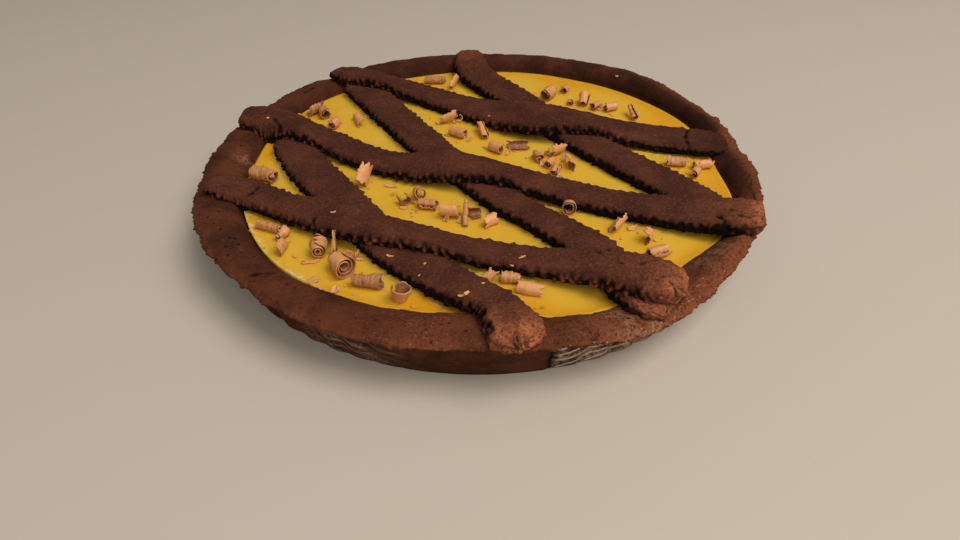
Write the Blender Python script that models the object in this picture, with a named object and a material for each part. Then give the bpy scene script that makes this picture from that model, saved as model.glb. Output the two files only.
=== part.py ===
"""A chocolate crostata: a fluted cocoa crust with an uneven rim, a smooth custard filling,
six lattice strips (three laid one way, three draped over them) and rolled chocolate curls.

Lengths are in metres unless a name ends in MM; +Z is up and the origin is the middle of the base.
"""

import math
import random
from collections import namedtuple

import bmesh
import bpy
import numpy as np
from mathutils import Euler, Vector
from mathutils.bvhtree import BVHTree

MM = 0.001
SEED = 20

# Crust
BASE_RADIUS = 118 * MM
FLOOR_THICKNESS = 5 * MM
WALL_FLARE = 6 * MM
WALL_TOP = 20.5 * MM
FLUTES = 66
FLUTE_DEPTH = 1.1 * MM
PLAIN_WALL_AT = math.radians(-90)
PLAIN_WALL_HALF_ANGLE = math.radians(18)
LIP_RAGGEDNESS = 0.6 * MM
# Outer and inner edge and height of the rim, every 22.5 degrees anticlockwise from +X
RIM_OUTER_MM = (129, 131, 131.5, 130, 129, 129, 129, 127.5, 127.5, 130, 129, 130, 128.5, 131.5, 129.5, 128.5)
RIM_INNER_MM = (
    113, 117, 116.5, 115.5, 114, 112, 113.5, 110.8, 108, 110, 111, 108.5, 106, 113.5, 111.5, 118.5,
)
RIM_HEIGHT_MM = (25.5, 25.5, 28, 27, 26, 26, 26, 25, 26, 26, 25.5, 25.5, 25.5, 26, 26, 25.5)
# Where a strip's end has sunk into the rim: angle and half width in degrees, depth in millimetres
RIM_DENTS = ((-58, 15, 4.0), (5, 8, 3.0), (-167, 9, 3.0), (129, 8, 2.0))

# Custard
CUSTARD_LEVEL = 19 * MM
CUSTARD_SEGMENTS = 66

# Lattice strips, in plan: x, y and width in millimetres, from the back left end
GAP = 0.45 * MM
STRIP_THICKNESS = 5.6 * MM
STRIP_DOME = 0.5 * MM
STATION_STEP = 7.6 * MM
END_STEP = 3 * MM
DRAPE_STEPS = 10
SAG = 0.97
OVERHANG_LEVEL = 24.5 * MM
LOWER_STRIPS = {
    "lower_strip_right": (
        (-6, 122, 19), (-2, 100, 20), (17, 72, 20), (48, 23, 18), (68, -2, 19), (103, -44, 20),
    ),
    "lower_strip_middle": (
        (-72, 89, 18), (-57.6, 67.6, 19.2), (-41.4, 40.9, 19), (-19.5, 5.9, 18.5), (-3, -16.4, 17),
        (13, -38, 15.8), (26, -51, 15.5), (45, -72, 18.5), (54, -93, 18), (65, -111, 18),
    ),
    "lower_strip_left": (
        (-97, 23.8, 18), (-78.7, -8.2, 20), (-61.8, -33, 20), (-36.8, -67.6, 19), (-14, -90, 18), (3.5, -105.5, 16),
        (10, -118.5, 18.5), (14, -130, 23),
    ),
}
UPPER_STRIPS = {
    "upper_strip_back": (
        (-85.5, 93, 17), (-69, 88.8, 17), (-32.6, 73.3, 17), (0.7, 52, 20), (29.6, 34.4, 22.5), (69.3, 26.6, 20), (100, 18, 20),
        (121, 12, 18),
    ),
    "upper_strip_middle": (
        (-121, 32, 23), (-102, 32, 21), (-73.5, 14.9, 17.5), (-39, -6, 16.3), (-4.3, -16.8, 17.6), (31, -27, 17),
        (73, -44, 17), (115, -59.5, 23),
    ),
    "upper_strip_front": (
        (-121, -27, 19), (-102, -31, 17), (-79.8, -43.6, 15), (-47.3, -62.4, 15), (-17.2, -71.2, 15), (10, -77, 14),
        (26, -82, 13.5), (40, -87.5, 14.5), (52, -92.5, 19.5), (62, -97, 24), (73, -103.5, 25),
    ),
}
# Each end's share of the full thickness and width, first end and last end
STRIP_ENDS = {
    "lower_strip_right": ((0.7, 0.7), (0.8, 0.7)),
    "lower_strip_middle": ((0.6, 0.7), (0.6, 0.8)),
    "lower_strip_left": ((0.7, 0.6), (1.15, 0.85)),
    "upper_strip_back": ((0.6, 0.5), (0.6, 0.8)),
    "upper_strip_middle": ((1.0, 0.6), (1.3, 0.75)),
    "upper_strip_front": ((0.6, 0.5), (1.15, 0.65)),
}

# Chocolate curls
CURL_THICKNESS = 0.8 * MM
CURL_WINDING_GAP = 0.5 * MM
CURL_CORE = 1.1 * MM
CURL_FACET = math.radians(42)

# A curl lies at (x, y) with its axis along heading and raised by tilt; spin turns its seam about
# the axis. Under 0.8 of a turn it is an open flake.
Curl = namedtuple("Curl", "x y radius length turns heading tilt spin")
CURLS_MM = (
    Curl(39, 76, 4.0, 8, 1.6, 55, 0, 40),
    Curl(49.5, 84.5, 2.6, 5, 1.4, 60, 0, 10),
    Curl(50.5, 68.5, 2.2, 4, 1.5, 85, 0, 90),
    Curl(58, 67.5, 3.2, 7, 1.2, 80, 25, 150),
    Curl(64.5, 62.5, 2.6, 6, 1.3, 40, 0, 200),
    Curl(72, 60.5, 2.8, 7, 1.5, 20, 0, 30),
    Curl(82, 52, 2.2, 9, 1.3, 100, 20, 80),
    Curl(-25.5, 97, 2.8, 11, 1.4, 0, 0, 120),
    Curl(-16, 91.5, 3.4, 7, 0.55, 60, 35, 100),
    Curl(-89.2, 57, 4.0, 8, 0.6, 40, 0, 110),
    Curl(-83, 53, 3.2, 6, 1.6, -60, 0, 20),
    Curl(-76, 40, 3.1, 5, 1.8, 75, 0, 60),
    Curl(-63, 46, 3.0, 10, 0.5, -65, 0, 40),
    Curl(-99, -12.5, 3.8, 11, 1.5, -20, 0, 40),
    Curl(-16, 46.5, 3.0, 8, 0.6, 15, 25, 100),
    Curl(-10.5, 30.5, 3.2, 8, 1.5, -30, 0, 70),
    Curl(2, 31.5, 2.4, 11, 1.4, 106, 15, 140),
    Curl(8.5, 14.5, 3.0, 7, 1.4, -40, 0, 20),
    Curl(19.5, 17.5, 2.8, 10, 0.75, 2, 0, 160),
    Curl(37.5, 12, 3.8, 8, 0.55, 30, 0, 110),
    Curl(28.5, 6, 2.6, 6, 1.4, 110, 0, 0),
    Curl(33.5, 0, 2.6, 5, 1.5, 60, 0, 50),
    Curl(35.5, -7, 2.7, 5, 1.6, 70, 0, 100),
    Curl(42.5, -1.5, 3.0, 8, 0.6, 100, 0, 60),
    Curl(94.5, 0.5, 2.8, 9, 1.4, -8, 0, 45),
    Curl(106, -2, 2.8, 8, 1.4, 10, 0, 90),
    Curl(101, -9.5, 2.6, 5, 1.5, 60, 0, 10),
    Curl(-53.5, -15, 4.2, 9, 0.45, 55, 45, 80),
    Curl(-32.5, -32.5, 3.0, 4, 0.9, -60, 0, 130),
    Curl(-26, -29, 3.4, 4, 1.7, -75, 25, 60),
    Curl(-22.5, -36.5, 2.8, 8, 1.3, -10, 0, 150),
    Curl(-12, -42.5, 3.7, 8, 0.6, -15, 0, 100),
    Curl(-5.5, -45.5, 1.5, 12, 1.1, 89, 28, 0),
    Curl(-1.5, -43.5, 2.8, 5, 0.75, 15, 0, 185),
    Curl(4, -49, 3.0, 6, 0.5, 40, 0, 60),
    Curl(38.5, -41.0, 3.7, 2.2, 2.0, 85, 0, 0),
    Curl(57, -52, 3.2, 8, 0.6, 50, 15, 110),
    Curl(68, -60.5, 3.2, 6, 0.6, 60, 0, 60),
    Curl(71, -71.5, 3.0, 8, 1.4, 25, 0, 130),
    Curl(-87.5, -53, 2.5, 10, 1.5, -25, 0, 60),
    Curl(-81, -59, 2.6, 5, 1.6, 60, 0, 30),
    Curl(-80, -68.5, 3.0, 6, 0.55, 80, 0, 60),
    Curl(-63.8, -70.5, 4.2, 5.5, 2.0, 102, 0, 0),
    Curl(-53.5, -81.0, 4.6, 8, 2.0, 128, 0, 70),
    Curl(-42, -90, 3.1, 11, 1.7, -7, 0, 20),
    Curl(-28.5, -97.5, 3.7, 5.5, 1.2, 0, 82, 40),
    Curl(-57.5, -69, 1.6, 9, 0.5, 30, 80, 90),
    Curl(4, -86.5, 3.0, 5, 0.5, 20, 45, 90),
    Curl(12, -87.3, 2.6, 7, 1.4, -10, 0, 30),
    Curl(19, -93, 3.2, 9, 0.42, -15, 0, 70),
)

# Colours as linear RGB, with roughness
COCOA_CRUST = (0.100, 0.042, 0.026, 0.85)
COCOA_STRIP = (0.078, 0.034, 0.024, 0.82)
CUSTARD_YELLOW = (0.720, 0.430, 0.045, 0.35)
MILK_CHOCOLATE = (0.480, 0.235, 0.125, 0.45)


def material(name, colour):
    """A Principled material from (red, green, blue, roughness)."""
    made = bpy.data.materials.new(name)
    made.use_nodes = True
    shader = made.node_tree.nodes["Principled BSDF"]
    shader.inputs["Base Color"].default_value = (*colour[:3], 1)
    shader.inputs["Roughness"].default_value = colour[3]
    shader.inputs["Metallic"].default_value = 0
    made.diffuse_color = (*colour[:3], 1)
    return made


def add_object(name, bm, colour, sharp_angle=math.radians(40)):
    """Puts a bmesh in the scene as a named object, shaded smooth."""
    bmesh.ops.recalc_face_normals(bm, faces=bm.faces)
    mesh = bpy.data.meshes.new(name)
    bm.to_mesh(mesh)
    bm.free()
    mesh.shade_smooth()
    mesh.set_sharp_from_angle(angle=sharp_angle)
    mesh.materials.append(material(name, colour))
    made = bpy.data.objects.new(name, mesh)
    bpy.context.collection.objects.link(made)
    return made


def around(values_mm, angle):
    """A smooth periodic curve through values spread evenly round the circle, in metres."""
    count = len(values_mm)
    place = (angle / math.tau * count) % count
    first, part = int(place), place % 1
    blend = part * part * (3 - 2 * part)
    return MM * (values_mm[first] * (1 - blend) + values_mm[(first + 1) % count] * blend)


def bridged_rings(bm, rings):
    """Joins successive rings of equally many points with quads and returns the rings of vertices."""
    made = [[bm.verts.new(point) for point in ring] for ring in rings]
    for low, high in zip(made, made[1:]):
        count = len(low)
        for i in range(count):
            bm.faces.new((low[i], low[(i + 1) % count], high[(i + 1) % count], high[i]))
    return made


def ring_points(radius_at, height_at, segments):
    """Points round the Z axis, with the radius and the height as functions of the angle."""
    points = []
    for i in range(segments):
        angle = math.tau * i / segments
        radius = radius_at(angle)
        points.append((radius * math.cos(angle), radius * math.sin(angle), height_at(angle)))
    return points


def fan(bm, ring, point):
    """Closes a ring with triangles to one point."""
    tip = bm.verts.new(point)
    for i, vertex in enumerate(ring):
        bm.faces.new((vertex, ring[(i + 1) % len(ring)], tip))


def make_crust():
    """The shell: flat base, flared fluted wall, ragged lip, rounded rim, inner wall and floor."""
    segments = 2 * FLUTES
    ragged = random.Random(SEED)
    lip = [ragged.uniform(-1, 1) * LIP_RAGGEDNESS for _ in range(segments)]

    def index(angle):
        return round(angle / math.tau * segments) % segments

    def outer(angle):
        return around(RIM_OUTER_MM, angle)

    def inner(angle):
        return around(RIM_INNER_MM, angle)

    def height(angle):
        sunk = 0.0
        for middle, half, depth in RIM_DENTS:
            away = abs((math.degrees(angle) - middle + 180) % 360 - 180)
            sunk += depth * max(0.0, 1 - (away / half) ** 2)
        return around(RIM_HEIGHT_MM, angle) - sunk * MM

    def slope(angle):
        """How far the rim's inner slope runs: gentle at the front, steep at the back."""
        return (5.6 - 2.2 * math.sin(angle)) * MM

    def flute(angle):
        away = abs((angle - PLAIN_WALL_AT + math.pi) % math.tau - math.pi)
        strength = min(1.0, max(0.0, away / PLAIN_WALL_HALF_ANGLE - 0.6))
        return FLUTE_DEPTH * strength * (1 if index(angle) % 2 else -1)

    def wall(rise):
        return lambda angle: BASE_RADIUS + WALL_FLARE * rise + flute(angle) * min(1.0, 0.35 + 2 * rise)

    def at(height_value):
        return lambda angle: height_value

    rings = (
        (lambda angle: BASE_RADIUS - 2 * MM, at(0)),
        (wall(0.02), at(1.6 * MM)),
        (wall(0.35), at(7.5 * MM)),
        (wall(0.70), at(14 * MM)),
        (wall(1.0), at(WALL_TOP)),
        (
            lambda a: outer(a) - 1.6 * MM + lip[index(a)] * 0.5,
            lambda a: height(a) - 4.2 * MM + lip[index(a)] * 0.5,
        ),
        (lambda a: outer(a) + lip[index(a)], lambda a: height(a) - 2.2 * MM),
        (lambda a: outer(a) - 2.6 * MM, lambda a: height(a) - 0.6 * MM),
        (lambda a: (outer(a) + inner(a)) / 2 + 2 * MM, height),
        (lambda a: inner(a) + slope(a), lambda a: height(a) - 0.9 * MM),
        (lambda a: inner(a) + slope(a) * 0.42, lambda a: 0.55 * height(a) + 0.45 * CUSTARD_LEVEL),
        (lambda a: inner(a) + 0.3 * MM, at(CUSTARD_LEVEL)),
        (lambda a: inner(a) - 2 * MM, at(12 * MM)),
        (lambda a: inner(a) - 6 * MM, at(FLOOR_THICKNESS + 1 * MM)),
        (lambda a: inner(a) - 10 * MM, at(FLOOR_THICKNESS)),
    )
    bm = bmesh.new()
    made = bridged_rings(bm, [ring_points(radius, rise, segments) for radius, rise in rings])
    fan(bm, made[0], (0, 0, 0))
    fan(bm, made[-1], (0, 0, FLOOR_THICKNESS))
    return add_object("crust", bm, COCOA_CRUST)


def make_custard():
    """The filling: a disc that runs down to the crust's floor, a hair clear of the crust."""

    def inset(clearance):
        return lambda angle: around(RIM_INNER_MM, angle) - clearance

    def at(height_value):
        return lambda angle: height_value

    rings = (
        (inset(10.4 * MM), at(FLOOR_THICKNESS + GAP)),
        (inset(6.6 * MM), at(FLOOR_THICKNESS + 1.5 * MM)),
        (inset(2.5 * MM), at(12 * MM)),
        (inset(0.35 * MM), at(CUSTARD_LEVEL - 0.8 * MM)),
        (inset(1.2 * MM), at(CUSTARD_LEVEL)),
    )
    bm = bmesh.new()
    made = bridged_rings(bm, [ring_points(radius, rise, CUSTARD_SEGMENTS) for radius, rise in rings])
    fan(bm, made[0], (0, 0, FLOOR_THICKNESS + GAP))
    fan(bm, made[-1], (0, 0, CUSTARD_LEVEL))
    return add_object("custard", bm, CUSTARD_YELLOW)


def tree_of(made):
    """A search tree of an object's faces, for finding what a strip comes to lie on."""
    bm = bmesh.new()
    bm.from_mesh(made.data)
    tree = BVHTree.FromBMesh(bm)
    bm.free()
    return tree


def support_height(trees, x, y):
    """The height of the highest surface under (x, y); past the rim's edge a strip holds itself up."""
    hits = [tree.ray_cast(Vector((x, y, 0.1)), Vector((0, 0, -1)))[0] for tree in trees]
    heights = [hit.z for hit in hits if hit is not None]
    return max(heights) if heights else OVERHANG_LEVEL


def smooth_path(points_mm):
    """Stations evenly along a Catmull-Rom curve through (x, y, width), with unit normals in plan."""
    knots = np.array(points_mm, float) * MM
    padded = np.vstack((2 * knots[0] - knots[1], knots, 2 * knots[-1] - knots[-2]))
    fine = []
    for p0, p1, p2, p3 in zip(padded, padded[1:], padded[2:], padded[3:]):
        for t in np.linspace(0, 1, 20, endpoint=False):
            fine.append(
                0.5 * (2 * p1 + (p2 - p0) * t + (2 * p0 - 5 * p1 + 4 * p2 - p3) * t**2
                       + (3 * p1 - p0 - 3 * p2 + p3) * t**3)
            )
    fine.append(knots[-1])
    fine = np.array(fine)
    lengths = np.r_[0, np.cumsum(np.hypot(*np.diff(fine[:, :2], axis=0).T))]
    count = round(lengths[-1] / STATION_STEP)
    wanted = np.r_[0, np.linspace(END_STEP, lengths[-1] - END_STEP, count), lengths[-1]]
    path = np.stack([np.interp(wanted, lengths, column) for column in fine.T], axis=1)
    ahead = np.gradient(path[:, :2], axis=0)
    ahead /= np.linalg.norm(ahead, axis=1)[:, None]
    return path, np.stack((-ahead[:, 1], ahead[:, 0]), axis=1)


def drape(trees, path, normals, rails):
    """The underside's height at each station and rail: soft dough let down until it clears what is below."""
    fine = 4
    stations, across = len(path), len(rails)
    steps = np.linspace(0, stations - 1, (stations - 1) * fine + 1)
    sides = np.linspace(0, across - 1, (across - 1) * 3 + 1)
    wanted = np.zeros((len(steps), len(sides)))
    for i, step in enumerate(steps):
        here = [np.interp(step, range(stations), column) for column in (*path.T, *normals.T)]
        for j, side in enumerate(sides):
            out = np.interp(side, range(across), rails) * here[2] / 2
            wanted[i, j] = support_height(trees, here[0] + here[3] * out, here[1] + here[4] * out) + GAP
    low = CUSTARD_LEVEL + GAP
    heights = wanted[::fine, ::3].copy()
    for _ in range(DRAPE_STEPS):
        along = np.vstack((heights[:1], heights, heights[-1:]))
        heights = 0.5 * heights + 0.25 * (along[:-2] + along[2:])
        heights = 0.85 * heights + 0.15 * heights.mean(axis=1, keepdims=True)
        heights = low + SAG * (heights - low)
        for _ in range(3):
            for i, step in enumerate(steps):
                i0 = min(int(step), stations - 2)
                for j, side in enumerate(sides):
                    j0 = min(int(side), across - 2)
                    u, v = step - i0, side - j0
                    corner = heights[i0:i0 + 2, j0:j0 + 2]
                    share = np.outer((1 - u, u), (1 - v, v))
                    short = wanted[i, j] - (corner * share).sum()
                    if short > 0:
                        corner += share * short / (share * share).sum()
    return heights


def make_strip(name, points_mm, trees):
    """A lattice strip: a domed ribbon of dough draped over whatever lies below it."""
    path, normals = smooth_path(points_mm)
    first, last = STRIP_ENDS[name]
    for i, share in ((0, first[1]), (1, 0.7 + 0.3 * first[1]), (-1, last[1]), (-2, 0.7 + 0.3 * last[1])):
        path[i, 2] *= share
    rails = (-0.92, -0.46, 0.0, 0.46, 0.92)
    under = drape(trees, path, normals, rails)
    count = len(path)
    bm = bmesh.new()
    loops = []
    for i, ((x, y, width), normal) in enumerate(zip(path, normals)):
        from_end = min(i, count - 1 - i)
        end_share = first[0] if i < count / 2 else last[0]
        thick = STRIP_THICKNESS * (1 + (end_share - 1) * max(0.0, 1 - from_end / 4))
        edge = (under[i, 0], under[i, -1])
        section = [(rail, height) for rail, height in zip(rails, under[i])]
        section.append((1.0, edge[1] + 0.45 * thick))
        for rail, share in ((0.86, 0.92), (0.45, 1.0), (0, 1.0), (-0.45, 1.0), (-0.86, 0.92)):
            base = np.interp(rail, rails, under[i])
            dome = STRIP_DOME * (1 - abs(rail))
            section.append((rail, base + share * thick + dome))
        section.append((-1.0, edge[0] + 0.45 * thick))
        half = width / 2
        loops.append([(x + normal[0] * rail * half, y + normal[1] * rail * half, z) for rail, z in section])
    made = bridged_rings(bm, loops)
    bm.faces.new(list(reversed(made[0])))
    bm.faces.new(made[-1])
    bmesh.ops.triangulate(bm, faces=bm.faces)
    return add_object(name, bm, COCOA_STRIP)


def make_curl(name, curl):
    """A shaving rolled into a spiral band, set down on the custard; a tight one has no second winding."""
    radius, length = curl.radius * MM, curl.length * MM
    pitch = CURL_THICKNESS + CURL_WINDING_GAP
    sweep = min(curl.turns, max(0.92, (radius - CURL_CORE) / pitch)) * math.tau
    facets = max(3, round(sweep / CURL_FACET))
    bm = bmesh.new()
    outer, inner = [], []
    for i in range(facets + 1):
        angle = sweep * i / facets + math.radians(curl.spin)
        reach = max(radius - pitch * (sweep * i / facets) / math.tau, CURL_CORE)
        for line, distance in ((outer, reach), (inner, reach - CURL_THICKNESS)):
            line.append((distance * math.cos(angle), distance * math.sin(angle)))
    outline = outer + inner[::-1]
    ends = [[bm.verts.new((end, y, z)) for y, z in outline] for end in (-length / 2, length / 2)]
    count = len(outline)
    for i in range(count):
        bm.faces.new((ends[0][i], ends[0][(i + 1) % count], ends[1][(i + 1) % count], ends[1][i]))
    for end in ends:
        for i in range(facets):
            bm.faces.new((end[i], end[i + 1], end[count - 2 - i], end[count - 1 - i]))
    turn = Euler((0, -math.radians(curl.tilt), math.radians(curl.heading)))
    bmesh.ops.rotate(bm, verts=bm.verts, matrix=turn.to_matrix())
    lowest = min(vertex.co.z for vertex in bm.verts)
    bmesh.ops.translate(bm, verts=bm.verts, vec=(curl.x * MM, curl.y * MM, CUSTARD_LEVEL + GAP - lowest))
    return add_object(name, bm, MILK_CHOCOLATE, math.radians(50))


def main():
    for old in list(bpy.data.objects):
        bpy.data.objects.remove(old)
    base = [make_crust(), make_custard()]
    trees = [tree_of(made) for made in base]
    lower = [make_strip(name, points, trees) for name, points in LOWER_STRIPS.items()]
    trees += [tree_of(made) for made in lower]
    for name, points in UPPER_STRIPS.items():
        make_strip(name, points, trees)
    for number, curl in enumerate(CURLS_MM, 1):
        make_curl(f"curl_{number:02d}", curl)


if __name__ == "__main__":
    main()
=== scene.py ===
"""The looks of a chocolate crostata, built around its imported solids.

Lengths are in metres unless a name ends in _MM. The tart stands on z = 0, its middle at the origin.
"""

from __future__ import annotations

import logging
import math
import random
from dataclasses import dataclass
from enum import Enum
from typing import Callable, NamedTuple, Sequence

import bmesh
import bpy
import numpy as np
from mathutils import Euler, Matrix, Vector, noise
from mathutils.bvhtree import BVHTree
from mathutils.kdtree import KDTree

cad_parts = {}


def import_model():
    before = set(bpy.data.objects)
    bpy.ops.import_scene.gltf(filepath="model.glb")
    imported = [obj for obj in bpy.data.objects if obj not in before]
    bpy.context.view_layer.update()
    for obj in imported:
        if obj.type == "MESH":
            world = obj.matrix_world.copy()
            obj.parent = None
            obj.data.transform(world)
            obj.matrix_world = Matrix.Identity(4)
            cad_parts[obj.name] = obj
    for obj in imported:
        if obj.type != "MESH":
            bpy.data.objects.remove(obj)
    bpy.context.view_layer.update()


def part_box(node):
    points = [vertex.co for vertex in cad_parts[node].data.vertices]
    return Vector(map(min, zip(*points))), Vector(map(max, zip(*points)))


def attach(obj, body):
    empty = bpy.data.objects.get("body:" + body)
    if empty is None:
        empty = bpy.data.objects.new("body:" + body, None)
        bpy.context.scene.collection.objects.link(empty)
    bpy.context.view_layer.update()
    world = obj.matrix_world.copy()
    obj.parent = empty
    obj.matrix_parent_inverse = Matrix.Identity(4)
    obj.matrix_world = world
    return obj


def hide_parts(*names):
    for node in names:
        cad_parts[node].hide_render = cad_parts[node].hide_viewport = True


LOG = logging.getLogger("crostata")

MM = 0.001
SEED = 11
FLAKE_SEED = 500
BODY = "root"

Colour = tuple[float, float, float]
Pair = tuple[float, float]
Place = Callable[[np.ndarray, np.ndarray], np.ndarray]


class Slot(Enum):
    """The record's material slots."""

    CRUST = "cocoa_crust"
    STRIP = "cocoa_strip"
    CUSTARD = "custard"
    CHOCOLATE = "milk_chocolate"


# Places and patches on the tart


class Crack(NamedTuple):
    """A split in the pastry, from (x0, y0) to (x1, y1) in plan, in millimetres."""

    x0: float
    y0: float
    x1: float
    y1: float
    width: float
    depth: float


class Spot(NamedTuple):
    """A round patch in plan, in millimetres."""

    x: float
    y: float
    radius: float


class Arc(NamedTuple):
    """A stretch of the shell: its middle and half width in degrees from +X, and its strength."""

    middle: float
    half: float
    strength: float = 1.0


# Shared shaping helpers


def fractal(points: np.ndarray, size: float, octaves: int = 3, shift: float = 0.0) -> np.ndarray:
    """Fractal noise in space.

    Args:
        points: N points in metres.
        size: the width of the noise's features, in metres.
        octaves: how many finer layers are added.
        shift: moves the pattern, so that two calls differ.

    Returns:
        One value for each point, mostly from -1 to 1.
    """
    spots = points / size + shift
    return np.array([noise.fractal(spot, 0.8, 2.1, octaves) for spot in spots])


def bell(values: np.ndarray, middle: float, width: float) -> np.ndarray:
    """A smooth bump of height 1 at the middle that fades over the width."""
    return np.exp(-(((values - middle) / width) ** 2))


def ramp(values: np.ndarray | float, start: np.ndarray | float, width: float) -> np.ndarray:
    """Climbs from 0 at the start to 1 one width further on."""
    return np.clip((values - start) / width, 0, 1)


def around(values_mm: Sequence[float], angle: np.ndarray) -> np.ndarray:
    """A smooth periodic curve through values spread evenly round the circle.

    Args:
        values_mm: the values in millimetres, anticlockwise from +X.
        angle: where to read the curve, in radians.

    Returns:
        The curve at each angle, in metres.
    """
    knots = np.array(values_mm)
    place = (angle / math.tau * len(knots)) % len(knots)
    first = place.astype(int) % len(knots)
    part = place - np.floor(place)
    blend = part * part * (3 - 2 * part)
    return MM * (knots[first] * (1 - blend) + knots[(first + 1) % len(knots)] * blend)


def smooth_run(rows: np.ndarray, place: np.ndarray) -> np.ndarray:
    """Reads a Catmull-Rom curve through rows of values.

    Args:
        rows: the values at knots 0, 1, 2 and so on; each row may hold one value for every place.
        place: where on the knots to read, from 0 to the last knot.

    Returns:
        The values read at each place.
    """
    padded = np.concatenate((2 * rows[:1] - rows[1:2], rows, 2 * rows[-1:] - rows[-2:-1]))
    first = np.clip(place.astype(int), 0, len(rows) - 2)
    t = place - first
    column = np.arange(len(place))
    if rows.ndim == 1:
        p0, p1, p2, p3 = (padded[first + step] for step in range(4))
    else:
        p0, p1, p2, p3 = (padded[first + step, column] for step in range(4))
    return 0.5 * (
        2 * p1
        + (p2 - p0) * t
        + (2 * p0 - 5 * p1 + 4 * p2 - p3) * t**2
        + (3 * p1 - p0 - 3 * p2 + p3) * t**3
    )


def laid_grid(columns: int, rows: int, place: Place) -> bmesh.types.BMesh:
    """A grid of quads laid over a surface, with its seams and poles welded.

    Args:
        columns: faces along u.
        rows: faces along v.
        place: gives the points for arrays of u and v, both from 0 to 1.

    Returns:
        The mesh, whose vertex layers "along" and "round" keep u and v.
    """
    bm = bmesh.new()
    bmesh.ops.create_grid(bm, x_segments=columns, y_segments=rows, size=0.5)
    spread = np.array([vertex.co[:2] for vertex in bm.verts]) + 0.5
    along = bm.verts.layers.float.new("along")
    round_ = bm.verts.layers.float.new("round")
    for vertex, (u, v), point in zip(bm.verts, spread, place(spread[:, 0], spread[:, 1])):
        vertex[along] = u
        vertex[round_] = v
        vertex.co = point
    bmesh.ops.remove_doubles(bm, verts=bm.verts, dist=0.005 * MM)
    bmesh.ops.dissolve_degenerate(bm, edges=bm.edges, dist=0.002 * MM)
    bmesh.ops.recalc_face_normals(bm, faces=bm.faces)
    return bm


def positions(bm: bmesh.types.BMesh) -> np.ndarray:
    """Every vertex's place, as an N by 3 array."""
    return np.array([vertex.co for vertex in bm.verts])


def layer_values(bm: bmesh.types.BMesh, name: str) -> np.ndarray:
    """A float layer's value at every vertex."""
    layer = bm.verts.layers.float[name]
    return np.array([vertex[layer] for vertex in bm.verts])


def keep_layer(bm: bmesh.types.BMesh, name: str, values: np.ndarray) -> None:
    """Writes one value for each vertex, which the finish reads as an attribute."""
    layer = bm.verts.layers.float.get(name) or bm.verts.layers.float.new(name)
    for vertex, value in zip(bm.verts, values):
        vertex[layer] = value


def push_out(bm: bmesh.types.BMesh, amount: np.ndarray) -> None:
    """Moves each vertex along its normal by its own amount."""
    bm.normal_update()
    for vertex, distance in zip(bm.verts, amount):
        vertex.co += vertex.normal * distance


def groove(points: np.ndarray, cracks: Sequence[Crack]) -> np.ndarray:
    """How deep the cracks cut into the surface at each point, in metres."""
    cut = np.zeros(len(points))
    for crack in cracks:
        start, end = np.array(crack[:2]) * MM, np.array(crack[2:4]) * MM
        line = end - start
        share = np.clip(((points[:, :2] - start) @ line) / (line @ line), 0, 1)
        wander = 0.35 * MM * np.sin(share * 9 + crack.x0)
        away = np.linalg.norm(points[:, :2] - start - share[:, None] * line, axis=1) + wander
        taper = np.sqrt(np.clip(1.15 - (2 * share - 1) ** 2, 0, 1))
        cut = np.maximum(cut, crack.depth * MM * taper * bell(away, 0, crack.width * MM))
    return cut


def over_arcs(degrees: np.ndarray, arcs: Sequence[Arc]) -> np.ndarray:
    """The strengths of the arcs that each angle lies in, faded at their ends and added up."""
    return sum(arc.strength * bell(degrees, arc.middle, arc.half) for arc in arcs)


def over_spot(points: np.ndarray, spot: Spot) -> np.ndarray:
    """How strongly each point lies in a round patch, from 0 to 1."""
    return bell(np.hypot(points[:, 0] - spot.x * MM, points[:, 1] - spot.y * MM), 0, spot.radius * MM)


def thicken(bm: bmesh.types.BMesh, thickness: float) -> None:
    """Gives a sheet its thickness, and draws in the corners that this throws out too far."""
    sheet = KDTree(len(bm.verts))
    for index, vertex in enumerate(bm.verts):
        sheet.insert(vertex.co, index)
    sheet.balance()
    bmesh.ops.solidify(bm, geom=bm.faces[:], thickness=thickness)
    farthest = 1.25 * thickness
    for vertex in bm.verts:
        near, _, away = sheet.find(vertex.co)
        if away > farthest:
            vertex.co = near + (vertex.co - near) * (farthest / away)


def finish_piece(
    name: str,
    bm: bmesh.types.BMesh,
    material: bpy.types.Material,
    nodes: Sequence[str] = (),
) -> bpy.types.Object:
    """Turns a bmesh into a smooth-shaded piece that rides on the tart.

    Args:
        name: the piece's name.
        bm: its mesh, which is freed.
        material: its finish.
        nodes: the solids that it stands for.

    Returns:
        The new object, at the origin.
    """
    mesh = bpy.data.meshes.new(name)
    bm.to_mesh(mesh)
    bm.free()
    mesh.shade_smooth()
    mesh.materials.append(material)
    piece = bpy.data.objects.new(name, mesh)
    bpy.context.collection.objects.link(piece)
    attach(piece, BODY)
    if nodes:
        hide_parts(*nodes)
    LOG.info("%s: %d faces", name, len(mesh.polygons))
    return piece


# Finishes


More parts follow.
